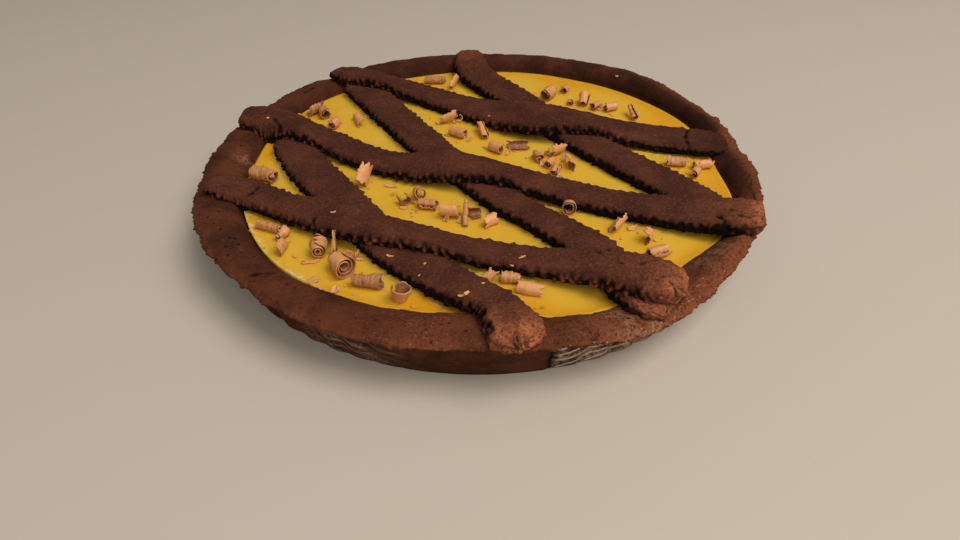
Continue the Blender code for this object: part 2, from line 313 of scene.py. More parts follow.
class Bench:
    """Adds and links the shader nodes of one material."""

    def __init__(self, name: str) -> None:
        """Starts a material with a Principled shader and Object coordinates."""
        self.material = bpy.data.materials.new(name)
        self.material.use_nodes = True
        self.nodes = self.material.node_tree.nodes
        self.links = self.material.node_tree.links
        self.shader = self.nodes["Principled BSDF"]
        self.place = self.nodes.new("ShaderNodeTexCoord").outputs["Object"]

    def feed(self, socket: bpy.types.NodeSocket, value: object) -> None:
        """Links an output to a socket, or sets a plain number or colour on it."""
        if isinstance(value, bpy.types.NodeSocket):
            self.links.new(value, socket)
        elif isinstance(value, tuple):
            socket.default_value = (*value, 1.0) if socket.type == "RGBA" else value
        else:
            socket.default_value = value

    def set(self, **values: object) -> None:
        """Feeds the shader's sockets, named with underscores for spaces."""
        for name, value in values.items():
            self.feed(self.shader.inputs[name.replace("_", " ")], value)

    def layer(self, name: str) -> bpy.types.NodeSocket:
        """The value that the mesh keeps under a name."""
        node = self.nodes.new("ShaderNodeAttribute")
        node.attribute_name = name
        return node.outputs["Fac"]

    def noise(self, size: float, detail: float = 3.0, roughness: float = 0.55) -> bpy.types.NodeSocket:
        """Noise with features about size metres wide."""
        node = self.nodes.new("ShaderNodeTexNoise")
        self.feed(node.inputs["Vector"], self.place)
        node.inputs["Scale"].default_value = 1 / size
        node.inputs["Detail"].default_value = detail
        node.inputs["Roughness"].default_value = roughness
        return node.outputs["Fac"]

    def cells(self, size: float) -> bpy.types.NodeSocket:
        """The distance to the nearest of many scattered points, about size metres apart."""
        node = self.nodes.new("ShaderNodeTexVoronoi")
        self.feed(node.inputs["Vector"], self.place)
        node.inputs["Scale"].default_value = 1 / size
        return node.outputs["Distance"]

    def math(self, operation: str, first: object, second: object = 0.0) -> bpy.types.NodeSocket:
        """One sum on two values."""
        node = self.nodes.new("ShaderNodeMath")
        node.operation = operation
        self.feed(node.inputs[0], first)
        self.feed(node.inputs[1], second)
        return node.outputs[0]

    def times(self, first: object, second: object) -> bpy.types.NodeSocket:
        """The product of two values."""
        return self.math("MULTIPLY", first, second)

    def plus(self, first: object, second: object) -> bpy.types.NodeSocket:
        """The sum of two values."""
        return self.math("ADD", first, second)

    def span(
        self, value: object, low: float, high: float, to_low: float = 0.0, to_high: float = 1.0
    ) -> bpy.types.NodeSocket:
        """Maps the span from low to high onto another, smoothly and clamped."""
        node = self.nodes.new("ShaderNodeMapRange")
        node.interpolation_type = "SMOOTHSTEP"
        for index, number in enumerate((value, low, high, to_low, to_high)):
            self.feed(node.inputs[index], number)
        return node.outputs[0]

    def mix(self, share: object, first: object, second: object) -> bpy.types.NodeSocket:
        """Mixes two colours."""
        node = self.nodes.new("ShaderNodeMix")
        node.data_type = "RGBA"
        self.feed(node.inputs["Factor"], share)
        self.feed(node.inputs[6], first)
        self.feed(node.inputs[7], second)
        return node.outputs[2]

    def bump(self, height: object, distance: float, under: object = None) -> bpy.types.NodeSocket:
        """A bump whose full height is the distance, on top of another bump if one is given."""
        node = self.nodes.new("ShaderNodeBump")
        node.inputs["Distance"].default_value = distance
        node.inputs["Strength"].default_value = 1.0
        self.feed(node.inputs["Height"], height)
        if under is not None:
            self.feed(node.inputs["Normal"], under)
        return node.outputs["Normal"]


@dataclass(frozen=True)
class PastryFinish:
    """Baked cocoa shortcrust: matte and mottled, torn and dusted where the mesh says so, with painted shade
    between crumbs, in pits and where the mesh's shade layer says so, and painted light on lit ridges through
    the torn layer.
    """

    name: str
    brown: Colour
    deep: Colour
    torn: Colour
    speck: Colour = (0.40, 0.22, 0.13)
    flour: Colour = (0.50, 0.37, 0.27)
    layer_edge: Colour = (0.60, 0.45, 0.33)
    black: Colour = (0.006, 0.004, 0.0035)
    roughness: float = 0.9
    mottle_size: float = 16 * MM
    grain_size: float = 1.2 * MM
    fine_size: float = 0.5 * MM
    pit_spacing: float = 4.2 * MM
    speck_spacing: float = 2.3 * MM
    bump: float = 0.32 * MM

    def make(self) -> bpy.types.Material:
        """Builds the material."""
        bench = Bench(self.name)
        mottle = bench.noise(self.mottle_size, 5.0, 0.62)
        grain = bench.noise(self.grain_size, 4.0, 0.7)
        fine = bench.noise(self.fine_size, 2.0)
        # The torn layer: torn pastry, and on the strips also painted light on the lit ridge lumps.
        torn = bench.layer("torn")
        colour = bench.mix(bench.span(mottle, 0.36, 0.66), self.deep, self.brown)
        colour = bench.mix(bench.span(grain, 0.48, 0.78, 0.0, 0.30), colour, self.torn)
        # Painted shade: the grain's low parts darken toward black, as the gaps between crumbs.
        colour = bench.mix(bench.span(grain, 0.22, 0.40, 0.45, 0.0), colour, self.black)
        crumbs = bench.mix(bench.span(grain, 0.32, 0.56), colour, self.torn)
        colour = bench.mix(torn, colour, crumbs)
        # Pits: dented in the bump, and painted black as the shade inside them.
        pit_dent_and_shade = bench.span(bench.cells(self.pit_spacing), 0.09, 0.17, 1.0, 0.0)
        pit_dent_and_shade = bench.times(pit_dent_and_shade, bench.layer("shaded_pits"))
        colour = bench.mix(pit_dent_and_shade, colour, self.black)
        specks = bench.span(bench.cells(self.speck_spacing), 0.08, 0.20, 1.0, 0.0)
        share = bench.span(torn, 0.0, 1.0, 0.04, 0.75)
        colour = bench.mix(bench.times(specks, share), colour, self.speck)
        dust = bench.times(bench.layer("flour"), bench.span(grain, 0.38, 0.60))
        colour = bench.mix(dust, colour, self.flour)
        layer = bench.math("FRACT", bench.plus(bench.layer("layers"), bench.times(fine, 0.12)))
        line = bench.times(bench.span(layer, 0.58, 0.84), bench.span(layer, 1.0, 0.95))
        line = bench.times(line, bench.span(grain, 0.20, 0.42, 0.4, 1.0))
        colour = bench.mix(bench.times(line, bench.layer("flaky")), colour, self.layer_edge)
        colour = bench.mix(bench.layer("shade"), colour, self.black)
        height = bench.plus(bench.times(grain, 0.6), bench.times(fine, 0.25))
        height = bench.plus(height, bench.times(bench.times(torn, grain), 0.6))
        height = bench.math("SUBTRACT", height, pit_dent_and_shade)
        bench.set(
            Base_Color=colour,
            Roughness=self.roughness,
            Normal=bench.bump(height, self.bump),
            Specular_IOR_Level=0.06,
        )
        return bench.material


@dataclass(frozen=True)
class CustardFinish:
    """Custard set in the oven: even yellow, orange where it caught the heat and under the shavings' painted
    shadows, paler along the strips.
    """

    name: str = "custard"
    yellow: Colour = (0.66, 0.405, 0.036)
    orange: Colour = (0.64, 0.30, 0.008)
    pale: Colour = (0.74, 0.58, 0.24)
    ochre: Colour = (0.36, 0.17, 0.018)
    roughness: float = 0.5
    mottle_size: float = 24 * MM
    fine_size: float = 2.2 * MM
    bubble_spacing: float = 9 * MM
    swell: float = 0.7 * MM
    bump: float = 0.10 * MM
    glow_depth: float = 6 * MM

    def make(self) -> bpy.types.Material:
        """Builds the material."""
        bench = Bench(self.name)
        broad = bench.noise(self.mottle_size, 3.0)
        fine = bench.noise(self.fine_size, 3.0)
        colour = bench.mix(bench.span(broad, 0.42, 0.75, 0.0, 0.18), self.yellow, self.orange)
        colour = bench.mix(bench.span(broad, 0.25, 0.45, 0.22, 0.0), colour, self.pale)
        # Browning and the shavings' painted shadows both tint toward orange.
        browned_and_shadowed = bench.times(bench.layer("browned_and_shadowed"), bench.span(broad, 0.3, 0.6, 0.7, 1.0))
        colour = bench.mix(browned_and_shadowed, colour, self.orange)
        edge = bench.times(bench.layer("pale"), bench.span(fine, 0.35, 0.6, 0.6, 1.0))
        colour = bench.mix(edge, colour, self.pale)
        bubbles = bench.span(bench.cells(self.bubble_spacing), 0.02, 0.04, 1.0, 0.0)
        colour = bench.mix(bench.times(bubbles, 0.25), colour, self.ochre)
        colour = bench.mix(bench.layer("ochre"), colour, self.ochre)
        height = bench.math("SUBTRACT", bench.times(fine, 0.3), bubbles)
        bench.set(
            Base_Color=colour,
            Roughness=self.roughness,
            Normal=bench.bump(height, self.bump, bench.bump(broad, self.swell)),
            Subsurface_Weight=0.6,
            Subsurface_Scale=self.glow_depth,
            Subsurface_Radius=(1.0, 0.8, 0.3),
            Specular_IOR_Level=0.25,
        )
        return bench.material


@dataclass(frozen=True)
class ChocolateFinish:
    """Milk chocolate shavings: satin outside, darker and redder on their insides as painted shade, paler
    along their thin edges.
    """

    name: str = "milk_chocolate"
    light: Colour = (0.68, 0.320, 0.130)
    brown: Colour = (0.22, 0.085, 0.034)
    inside_shade: Colour = (0.16, 0.048, 0.014)
    roughness: float = 0.45
    streak_size: float = 1.4 * MM
    grain_size: float = 0.7 * MM
    bump: float = 0.14 * MM
    glow_depth: float = 1.2 * MM

    def make(self) -> bpy.types.Material:
        """Builds the material."""
        bench = Bench(self.name)
        streak = bench.noise(self.streak_size, 4.0)
        tone = bench.plus(bench.layer("tone"), bench.times(streak, 0.6))
        colour = bench.mix(bench.span(tone, 0.22, 1.0), self.brown, self.light)
        # Painted shade: the shavings' inward faces are darker.
        colour = bench.mix(bench.times(bench.layer("inside_shade"), 0.7), colour, self.inside_shade)
        bench.set(
            Base_Color=colour,
            Roughness=self.roughness,
            Normal=bench.bump(bench.noise(self.grain_size, 3.0), self.bump),
            Subsurface_Weight=0.15,
            Subsurface_Scale=self.glow_depth,
            Specular_IOR_Level=0.45,
        )
        return bench.material


# The tart's parts


@dataclass(frozen=True)
class Rim:
    """The rim's plan and height, as the solids have them, every 22.5 degrees from +X."""

    outer_mm: tuple[float, ...] = (
        129, 131, 131.5, 130, 129, 129, 129, 127.5, 127.5, 130, 129, 130, 128.5, 131.5, 129.5, 128.5,
    )
    inner_mm: tuple[float, ...] = (
        113, 117, 116.5, 115.5, 114, 112, 113.5, 110.8, 108, 110, 111, 108.5, 106, 113.5, 111.5, 118.5,
    )
    height_mm: tuple[float, ...] = (
        25.5, 25.5, 28, 27, 26, 26, 26, 25, 26, 26, 25.5, 25.5, 25.5, 26, 26, 25.5,
    )
    # Where a strip's end has sunk in, and how far in millimetres
    dents: tuple[Arc, ...] = (Arc(-58, 15, 4.0), Arc(5, 8, 3.0), Arc(-167, 9, 3.0), Arc(129, 8, 2.0))

    def outer(self, angle: np.ndarray) -> np.ndarray:
        """The outer edge's radius."""
        return around(self.outer_mm, angle)

    def inner(self, angle: np.ndarray) -> np.ndarray:
        """The radius where the rim meets the custard."""
        return around(self.inner_mm, angle)

    def height(self, angle: np.ndarray) -> np.ndarray:
        """The rim's highest level, sunk where a strip's end was pressed in."""
        sunk = np.zeros_like(angle)
        for middle, half, depth in self.dents:
            away = np.abs((np.degrees(angle) - middle + 180) % 360 - 180)
            sunk += depth * np.maximum(0, 1 - (away / half) ** 2)
        return around(self.height_mm, angle) - sunk * MM


@dataclass
class Crust:
    """The pastry shell: base, fluted wall, torn lip and pressed rim."""

    rim: Rim
    custard_level: float
    base_radius: float = 118 * MM
    floor: float = 5 * MM
    wall_flare: float = 6 * MM
    wall_top: float = 20.5 * MM
    flutes: int = 66
    flute_depth: float = 1.1 * MM
    tooth: float = 0.9 * MM
    spike: float = 1.3 * MM
    lip_radius: float = 129 * MM
    # The flaky layers: millimetres from one to the next, and how far they stand out
    layer_rise: float = 4.6
    layer_relief: float = 0.25 * MM
    columns: int = 1340
    rows: int = 72
    cracks: tuple[Crack, ...] = (
        Crack(-85.3, -91.2, -76.8, -87.6, 0.7, 1.2),
        Crack(-97, 70, -92, 77, 0.6, 0.8),
    )
    # Where the top of the rim is torn all over, or on its outer half only
    torn: tuple[Arc, ...] = (Arc(-62, 14, 0.75), Arc(-99, 8, 0.42))
    torn_outside: tuple[Arc, ...] = (Arc(-36, 16, 0.75), Arc(10, 40, 0.5))
    rubbed: Spot = Spot(-109.5, 0, 5)
    # Where flour stayed on the wall, on the rim, or on the rim's inner half only
    floury_wall: tuple[Arc, ...] = (Arc(-60, 16, 0.1), Arc(-114, 8, 0.22))
    floury_rim: tuple[Arc, ...] = (Arc(-63, 6, 0.22),)
    floury_inside: tuple[Arc, ...] = (Arc(-35, 12, 0.22),)
    shaded_pits: tuple[Arc, ...] = (Arc(-165, 45), Arc(195, 45), Arc(-97, 14, 0.5), Arc(-55, 25, 0.4))
    # Painted shade on the rim's inner slope at the back right, and a notch dented into the wall and painted
    # dark as its shade
    inner_slope_shade: Arc = Arc(18, 34, 0.66)
    notch: Arc = Arc(-77.4, 0.7, 1.6)

    # Grid rows given to each span between rings: many where it shows, few where it doesn't
    ROW_SHARES = (1, 1, 2, 5, 6, 6, 6, 6, 7, 7, 7, 7, 5, 3, 2, 1)

    def flute(self, angle: np.ndarray) -> np.ndarray:
        """The wall's ripple: broad ridges and narrow valleys, smooth at the front."""
        away = np.abs((angle + math.pi / 2 + math.pi) % math.tau - math.pi)
        strength = np.clip(away / math.radians(18) - 0.6, 0, 1)
        ridge = ((1 - np.cos(self.flutes * angle)) / 2) ** 0.75
        return self.flute_depth * strength * (2 * ridge - 1)

    def rings(self, angle: np.ndarray) -> tuple[np.ndarray, np.ndarray]:
        """The profile's control rings.

        Args:
            angle: the angle of each point.

        Returns:
            Radius and height, one row for each ring from the base's middle to the floor's.
        """
        outer, inner, high = self.rim.outer(angle), self.rim.inner(angle), self.rim.height(angle)
        slope = (5.6 - 2.2 * np.sin(angle)) * MM
        flute = self.flute(angle)
        level = self.custard_level
        flat = np.zeros_like(angle)

        def wall(rise: float) -> np.ndarray:
            """The wall's radius at a share of its height."""
            return self.base_radius + self.wall_flare * rise + flute * min(1.0, 0.35 + 2 * rise)

        rings = (
            (flat, flat),
            (flat + self.base_radius - 3 * MM, flat),
            (wall(0.0) - 0.8 * MM, flat + 0.15 * MM),
            (wall(0.04), flat + 1.4 * MM),
            (wall(0.35), flat + 7.5 * MM),
            (wall(0.70), flat + 14 * MM),
            (wall(1.0), flat + self.wall_top - 0.5 * MM),
            (outer - 2.0 * MM, high - 4.4 * MM),
            (outer, high - 2.4 * MM),
            (outer - 2.6 * MM, high - 0.6 * MM),
            ((outer + inner) / 2 + 2 * MM, high),
            (inner + slope, high - 0.9 * MM),
            (inner + slope * 0.42, 0.55 * high + 0.45 * level),
            (inner + 0.3 * MM, flat + level),
            (inner - 2 * MM, flat + 12 * MM),
            (inner - 6 * MM, flat + self.floor + 1 * MM),
            (flat, flat + self.floor),
        )
        return np.array([radius for radius, _ in rings]), np.array([rise for _, rise in rings])

    def place(self, u: np.ndarray, v: np.ndarray) -> np.ndarray:
        """The shell's smooth shape."""
        angle = math.tau * u
        radius, rise = self.rings(angle)
        knots = np.concatenate(([0], np.cumsum(self.ROW_SHARES))) / sum(self.ROW_SHARES)
        spot = np.interp(v, knots, np.arange(len(knots)))
        reach = np.maximum(smooth_run(radius, spot), 0)
        height = np.maximum(smooth_run(rise, spot), 0)
        return np.stack((reach * np.cos(angle), reach * np.sin(angle), height), axis=1)

    def ledges(self, points: np.ndarray, degrees: np.ndarray) -> tuple[np.ndarray, np.ndarray]:
        """The flaky layers that climb the wall to the right of the front, and fewer to its left.

        Args:
            points: the shell's points.
            degrees: the angle of each point.

        Returns:
            The number of layers passed at each point, and how strongly they show there.
        """
        height = points[:, 2]
        wander = 1.6 * fractal(points, 16 * MM, 2, 21.0)
        climb = height / MM - 0.8 * np.abs(degrees + 90) + wander
        right = ramp(degrees, -77.5, 1.5) * ramp(-degrees, 38, 6)
        where = right + 0.22 * bell(degrees, -113, 8)
        limit = (18.5 + 1.5 * bell(degrees, -66, 7)) * MM
        where *= ramp(height, 0, 1 * MM) * ramp(limit, height, 2 * MM)
        return climb / self.layer_rise + 40, where

    def spikes(self, angle: np.ndarray, height: np.ndarray) -> np.ndarray:
        """The crumbs that stand out along the lip, sharp and uneven, from 0 to 1."""
        lip = self.lip_radius
        unrolled = np.stack((np.cos(angle) * lip, np.sin(angle) * lip, height * 0.35), axis=1)
        sharp = 1 - 4 * np.abs(fractal(unrolled, 2.4 * MM, 4, 15.0))
        return np.clip(sharp, 0, 1) * np.clip(0.6 + 1.3 * fractal(unrolled, 9 * MM, 2, 18.0), 0.2, 1)

    def build(self, finish: PastryFinish) -> bpy.types.Object:
        """Builds the shell and dresses it."""
        bm = laid_grid(self.columns, self.rows, self.place)
        points = positions(bm)
        angle = np.arctan2(points[:, 1], points[:, 0])
        degrees = np.degrees(angle)
        reach = np.hypot(points[:, 0], points[:, 1])
        height = points[:, 2]
        inner, outer, high = self.rim.inner(angle), self.rim.outer(angle), self.rim.height(angle)
        on_top = ramp(height - high, -5 * MM, 3 * MM)
        outside = ramp(reach - outer, -9 * MM, 5 * MM)
        rubbed = over_spot(points, self.rubbed)
        cracked = groove(points, self.cracks) * on_top
        notch = bell(degrees, *self.notch[:2]) * (1 - on_top)
        layers, flaky = self.ledges(points, degrees)

        torn = over_arcs(degrees, self.torn) + outside * over_arcs(degrees, self.torn_outside) + 1.2 * rubbed
        torn_top = np.clip(torn, 0, 1) * on_top
        lip = bell(np.hypot(reach - outer, height - high + 2.4 * MM), 0, 2.4 * MM)
        brink = bell(np.hypot(reach - outer, height - high + 2.6 * MM), 0, 1.5 * MM)
        chips = 0.9 * np.clip(fractal(points, 5.5 * MM, 2, 8.0), -0.6, 0.7) - 0.3
        relief = 0.35 * MM * fractal(points, 9 * MM, 2, 3.0)
        relief += 0.24 * MM * fractal(points, 2.2 * MM, 3)
        relief += torn_top * 0.55 * MM * fractal(points, 3.2 * MM, 4, 9.0)
        relief += lip * self.tooth * chips + brink * self.spike * self.spikes(angle, height)
        relief += flaky * self.layer_relief * np.sin(math.tau * layers)
        relief -= cracked + self.notch.strength * MM * notch
        push_out(bm, relief * ramp(height, 0, 2 * MM))

        patchy = np.clip(0.5 + 1.4 * fractal(points, 6 * MM, 3, 12.0), 0, 1)
        floury_inside = over_arcs(degrees, self.floury_inside) * (1 - outside)
        dusty = on_top * (floury_inside + over_arcs(degrees, self.floury_rim)) + 0.3 * rubbed
        wall = ramp(21 * MM, height, 2 * MM)
        flour = wall * patchy * (0.6 * flaky + over_arcs(degrees, self.floury_wall))
        flour = np.clip(flour + dusty * patchy, 0, 1)
        teeth = fractal(points, 2.6 * MM, 3, 5.0)
        keep_layer(bm, "layers", layers)
        keep_layer(bm, "flaky", np.clip(flaky * (0.85 + 0.8 * fractal(points, 9 * MM, 2, 33.0)), 0, 1))
        keep_layer(bm, "torn", np.clip(torn_top + 0.35 * lip * np.clip(teeth + 0.5, 0, 1), 0, 1))
        keep_layer(bm, "flour", flour)
        keep_layer(bm, "shaded_pits", on_top * np.clip(0.15 + over_arcs(degrees, self.shaded_pits), 0, 1))

        # Painted shade: in the cracks and the notch, on the rim's inner slope at the back, and a little on
        # the wall under the lip.
        level = ramp(height, self.custard_level, 2 * MM)
        back = np.clip(np.sin(angle) * 1.4, 0, 1) * bell(reach, inner.mean(), 8 * MM)
        inward = ramp(inner + 10 * MM, reach, 4 * MM)
        under = ramp(high - 3.5 * MM, height, 3 * MM) * ramp(reach, 108 * MM, 3 * MM)
        shade = np.clip(cracked / MM + notch * 0.8, 0, 1)
        shade += (0.35 * back + over_arcs(degrees, [self.inner_slope_shade]) * inward) * level
        keep_layer(bm, "shade", np.clip(np.clip(shade, 0, 1) + 0.12 * under * (1 - flour), 0, 1))
        return finish_piece("crust_shell", bm, finish.make(), ["crust"])


@dataclass
class Strip:
    """A pinked lattice strip: a flat-topped band with toothed sides, laid on what carries it.

    The path gives x, y and width in millimetres. A pair holds a share for the first and the last end.
    """

    node: str
    path: tuple[tuple[float, float, float], ...]
    narrowed: Pair
    torn_ends: Pair = (0.0, 0.0)
    sunk_ends: Pair = (1.0, 1.0)
    # How dark each end is painted, as shade
    end_shade: Pair = (0.0, 0.0)
    # How dark the near side is painted, as shade, from the first end to the last
    near_side_shade: Pair = (0.0, 0.0)
    cracks: tuple[Crack, ...] = ()
    rounding: float = 6.5 * MM
    drop: float = 4.5 * MM
    pitch: float = 3.6 * MM
    tooth: float = 1.5 * MM
    lobe: float = 4.4 * MM
    step: float = 0.6 * MM
    # How far the sides hang where the strip crosses another, and the near side by its first end
    hem: float = 1.3 * MM
    hang: float = 0.0
    hang_place: float = 19 * MM
    hang_length: float = 9 * MM
    end_swell: float = 0.9 * MM
    narrowed_length: float = 10 * MM
    sunk_length: float = 16 * MM
    rows: int = 64
    cap_columns: int = 7

    RAILS = (-0.92, -0.46, 0.0, 0.46, 0.92)
    # The section: place round the loop, share of the half width, share of the thickness
    SECTION = (
        (0.00, 0.00, 0.00),
        (0.08, 0.93, 0.00),
        (0.095, 0.99, 0.08),
        (0.24, 1.00, 0.62),
        (0.27, 0.97, 0.80),
        (0.30, 0.91, 0.925),
        (0.34, 0.79, 0.99),
        (0.50, 0.00, 1.00),
    )

    def __post_init__(self) -> None:
        """Works out the stations along the path and their heights from the solid."""
        self.lay_stations()
        self.read_heights()

    def lay_stations(self) -> None:
        """Stations every step along the path, with their widths and normals in plan."""
        knots = np.array(self.path, float) * MM
        fine = np.linspace(0, len(knots) - 1, 60 * len(knots))
        line = np.stack([smooth_run(column, fine) for column in knots.T], axis=1)
        gone = np.concatenate(([0], np.cumsum(np.hypot(*np.diff(line[:, :2], axis=0).T))))
        self.length = gone[-1]
        count = round(self.length / self.step)
        self.gone = np.linspace(0, self.length, count + 1)
        self.line = np.stack([np.interp(self.gone, gone, column) for column in line.T], axis=1)
        first, last = self.to_ends(self.gone, self.narrowed_length)
        self.line[:, 2] *= 1 + (self.narrowed[0] - 1) * first + (self.narrowed[1] - 1) * last
        ahead = np.gradient(self.line[:, :2], axis=0)
        ahead /= np.linalg.norm(ahead, axis=1)[:, None]
        self.ahead = ahead
        self.normal = np.stack((-ahead[:, 1], ahead[:, 0]), axis=1)

    def to_ends(self, gone: np.ndarray, size: float) -> tuple[np.ndarray, np.ndarray]:
        """How near each point is to the first and the last end: 1 at the end, 0 a size away."""
        return np.clip(1 - gone / size, 0, 1), np.clip(1 - (self.length - gone) / size, 0, 1)

    def over_ends(self, shares: Pair, gone: np.ndarray, first: float, last: float = 0.0) -> np.ndarray:
        """The ends' shares, each faded over a length; the last end's is the first's unless given."""
        return shares[0] * bell(gone, 0, first) + shares[1] * bell(gone, self.length, last or first)

    def read_heights(self) -> None:
        """Reads the solid's underside and thickness under each station, and smooths them."""
        shape = bmesh.new()
        shape.from_mesh(bpy.data.objects[self.node].data)
        tree = BVHTree.FromBMesh(shape)
        shape.free()
        under = np.full((len(self.line), len(self.RAILS)), np.nan)
        over = np.full(len(self.line), np.nan)
        for i, ((x, y, width), normal) in enumerate(zip(self.line, self.normal)):
            for j, rail in enumerate(self.RAILS):
                out = rail * width / 2 * 0.97
                spot = Vector((x + normal[0] * out, y + normal[1] * out, 0))
                hit = tree.ray_cast(spot, Vector((0, 0, 1)))[0]
                if hit is not None:
                    under[i, j] = hit.z
            hit = tree.ray_cast(Vector((x, y, 0.1)), Vector((0, 0, -1)))[0]
            if hit is not None:
                over[i] = hit.z
        order = np.arange(len(self.line))
        for column in (*under.T, over):
            known = ~np.isnan(column)
            column[~known] = np.interp(order[~known], order[known], column[known])
        reach = round(7 * MM / self.step)
        weights = np.hanning(2 * reach + 1)
        weights /= weights.sum()

        def smoothed(column: np.ndarray) -> np.ndarray:
            """Evens out the values from station to station."""
            padded = np.pad(column, reach, mode="reflect", reflect_type="odd")
            return np.convolve(padded, weights, mode="valid")

        self.under = np.stack([smoothed(column) for column in under.T], axis=1)
        self.thick = smoothed(over) - self.under[:, 2]

    def at(self, values: np.ndarray, gone: np.ndarray) -> np.ndarray:
        """Reads a value kept for the stations at any distance along the strip."""
        if values.ndim == 1:
            return np.interp(gone, self.gone, values)
        return np.stack([np.interp(gone, self.gone, column) for column in values.T], axis=1)

    def underside(self, gone: np.ndarray, rail: np.ndarray) -> np.ndarray:
        """The underside's height at a distance along and a share of the half width across."""
        rails = self.at(self.under, gone)
        low = np.clip((rail + 0.92) / 0.46, 0, 3.999)
        first = low.astype(int)
        part = low - first
        row = np.arange(len(gone))
        return rails[row, first] * (1 - part) + rails[row, first + 1] * part

    def ridges(self, gone: np.ndarray, side: np.ndarray, level: np.ndarray) -> np.ndarray:
        """How far the pinked sides stand out: uneven upright ridges with deep gaps between them.

        Args:
            gone: the distance along the strip of each point.
            side: 1 on the left side and -1 on the right side.
            level: the share of the thickness, from 0 at the bottom to 1 at the top.

        Returns:
            A share of the tooth's size, from -0.4 in the gaps to 0.6 on the strongest ridges.
        """
        out = np.full(len(gone), -0.4)
        for sign, row in ((-1.0, 0.25), (-1.0, 0.70), (1.0, 0.40), (1.0, 0.88)):
            dice = random.Random(f"{self.node} {sign} {row}")
            here = np.flatnonzero(side == sign)
            spot = dice.uniform(0, self.pitch)
            while spot < self.length:
                width = self.pitch * dice.uniform(0.18, 0.40)
                lean = dice.uniform(-2.2, 2.2) * MM
                reach = dice.uniform(0.35, 1.0)
                middle, half = row + dice.uniform(-0.12, 0.12), dice.uniform(0.16, 0.36)
                shape = bell(gone[here] + lean * (level[here] - 0.5), spot, width)
                shape *= bell(level[here], middle, half)
                out[here] = np.maximum(out[here], reach * shape - 0.4)
                spot += self.pitch * dice.uniform(0.6, 1.5)
        calm = np.clip(self.over_ends(self.torn_ends, gone, 10 * MM), 0, 1)
        return out * (1 - 0.7 * calm) * (1.35 - np.where(side > 0, 0.0, 0.5) * level)

    def eased(self, gone: np.ndarray, size: float) -> np.ndarray:
        """A share of the full width or thickness, rounded off within a size of either end."""
        near = np.clip(1 - np.minimum(gone, self.length - gone) / size, 0, 1)
        return (1 - 0.9 * near**2.6) ** (1 / 2.6)

    def sinking(self, gone: np.ndarray) -> np.ndarray:
        """The share of the thickness that each point keeps where an end was pressed in."""
        first, last = self.to_ends(gone, self.sunk_length)
        return 1 + (self.sunk_ends[0] - 1) * first**2 + (self.sunk_ends[1] - 1) * last**2

    def lifted(self, gone: np.ndarray) -> np.ndarray:
        """How far each point is carried over another strip, from 0 to 1."""
        above = self.at(self.under[:, 2], gone) - self.under.min() - 0.8 * MM
        to_end = np.minimum(gone, self.length - gone)
        return np.clip(above / (2 * MM), 0, 1) * np.clip(to_end / (12 * MM), 0, 1)

    def hanging(self, gone: np.ndarray) -> np.ndarray:
        """Where the near side hangs by the first end, from 0 to 1."""
        return bell(gone, self.hang_place, self.hang_length)

    @property
    def columns(self) -> int:
        """The grid's faces along the strip, its two closed ends included."""
        return len(self.gone) - 1 + 2 * self.cap_columns

    def gone_at(self, u: np.ndarray) -> np.ndarray:
        """The distance along the strip at each place along the grid."""
        step = self.length / (len(self.gone) - 1)
        return np.clip(u * self.columns - self.cap_columns, 0, len(self.gone) - 1) * step

    def section_at(self, v: np.ndarray) -> tuple[np.ndarray, np.ndarray, np.ndarray]:
        """Reads the section.

        Args:
            v: the place round the loop, from 0 under the middle, by the far side and the top, to 1.

        Returns:
            The side, 1 or -1; the signed share of the half width; and the share of the thickness.
        """
        section = np.array(self.SECTION)
        half_round = np.where(v <= 0.5, v, 1 - v)
        side = np.where(v <= 0.5, 1.0, -1.0)
        rail = side * np.interp(half_round, section[:, 0], section[:, 1])
        return side, rail, np.interp(half_round, section[:, 0], section[:, 2])

    def place(self, u: np.ndarray, v: np.ndarray) -> np.ndarray:
        """The strip's shape, its two ends closed by drawing the section in to a point."""
        column = u * self.columns
        gone = self.gone_at(u)
        open_ = np.clip(np.minimum(column, self.columns - column) / self.cap_columns, 0, 1)
        side, rail, level = self.section_at(v)
        line = self.at(self.line, gone)
        normal = self.at(self.normal, gone)
        ahead = self.at(self.ahead, gone)
        drawn = rail * open_
        half = line[:, 2] / 2 * self.eased(gone, self.rounding)
        ridge = self.tooth * self.ridges(gone, side, level)
        out = drawn * half + side * np.abs(rail) ** np.where(side > 0, 2.5, 5.0) * open_ * ridge
        sag = self.hem * self.lifted(gone) + self.hang * self.hanging(gone) * (drawn < 0)
        low = self.underside(gone, drawn) - sag * np.abs(drawn) ** 6
        thick = self.at(self.thick, gone) * self.eased(gone, self.drop) * self.sinking(gone)
        height = low + thick * (0.45 + (level - 0.45) * open_) * (1 - 0.05 * drawn**2)
        outward = np.where(u < 0.5, -1.0, 1.0) * (1 - open_**2) * self.end_swell
        plan = line[:, :2] + normal * out[:, None] + ahead * outward[:, None]
        return np.column_stack((plan, height))

    def build(self, material: bpy.types.Material) -> bpy.types.Object:
        """Builds the strip and dresses it."""
        bm = laid_grid(self.columns, self.rows, self.place)
        points = positions(bm)
        v = layer_values(bm, "round")
        gone = self.gone_at(layer_values(bm, "along"))
        half_round = np.where(v <= 0.5, v, 1 - v)
        side, rail, level = self.section_at(v)
        top = ramp(half_round, 0.235, 0.04)
        under = ramp(0.10, half_round, 0.04)
        brink = bell(half_round, 0.265, 0.03)
        flank = (1 - top) * (1 - under)

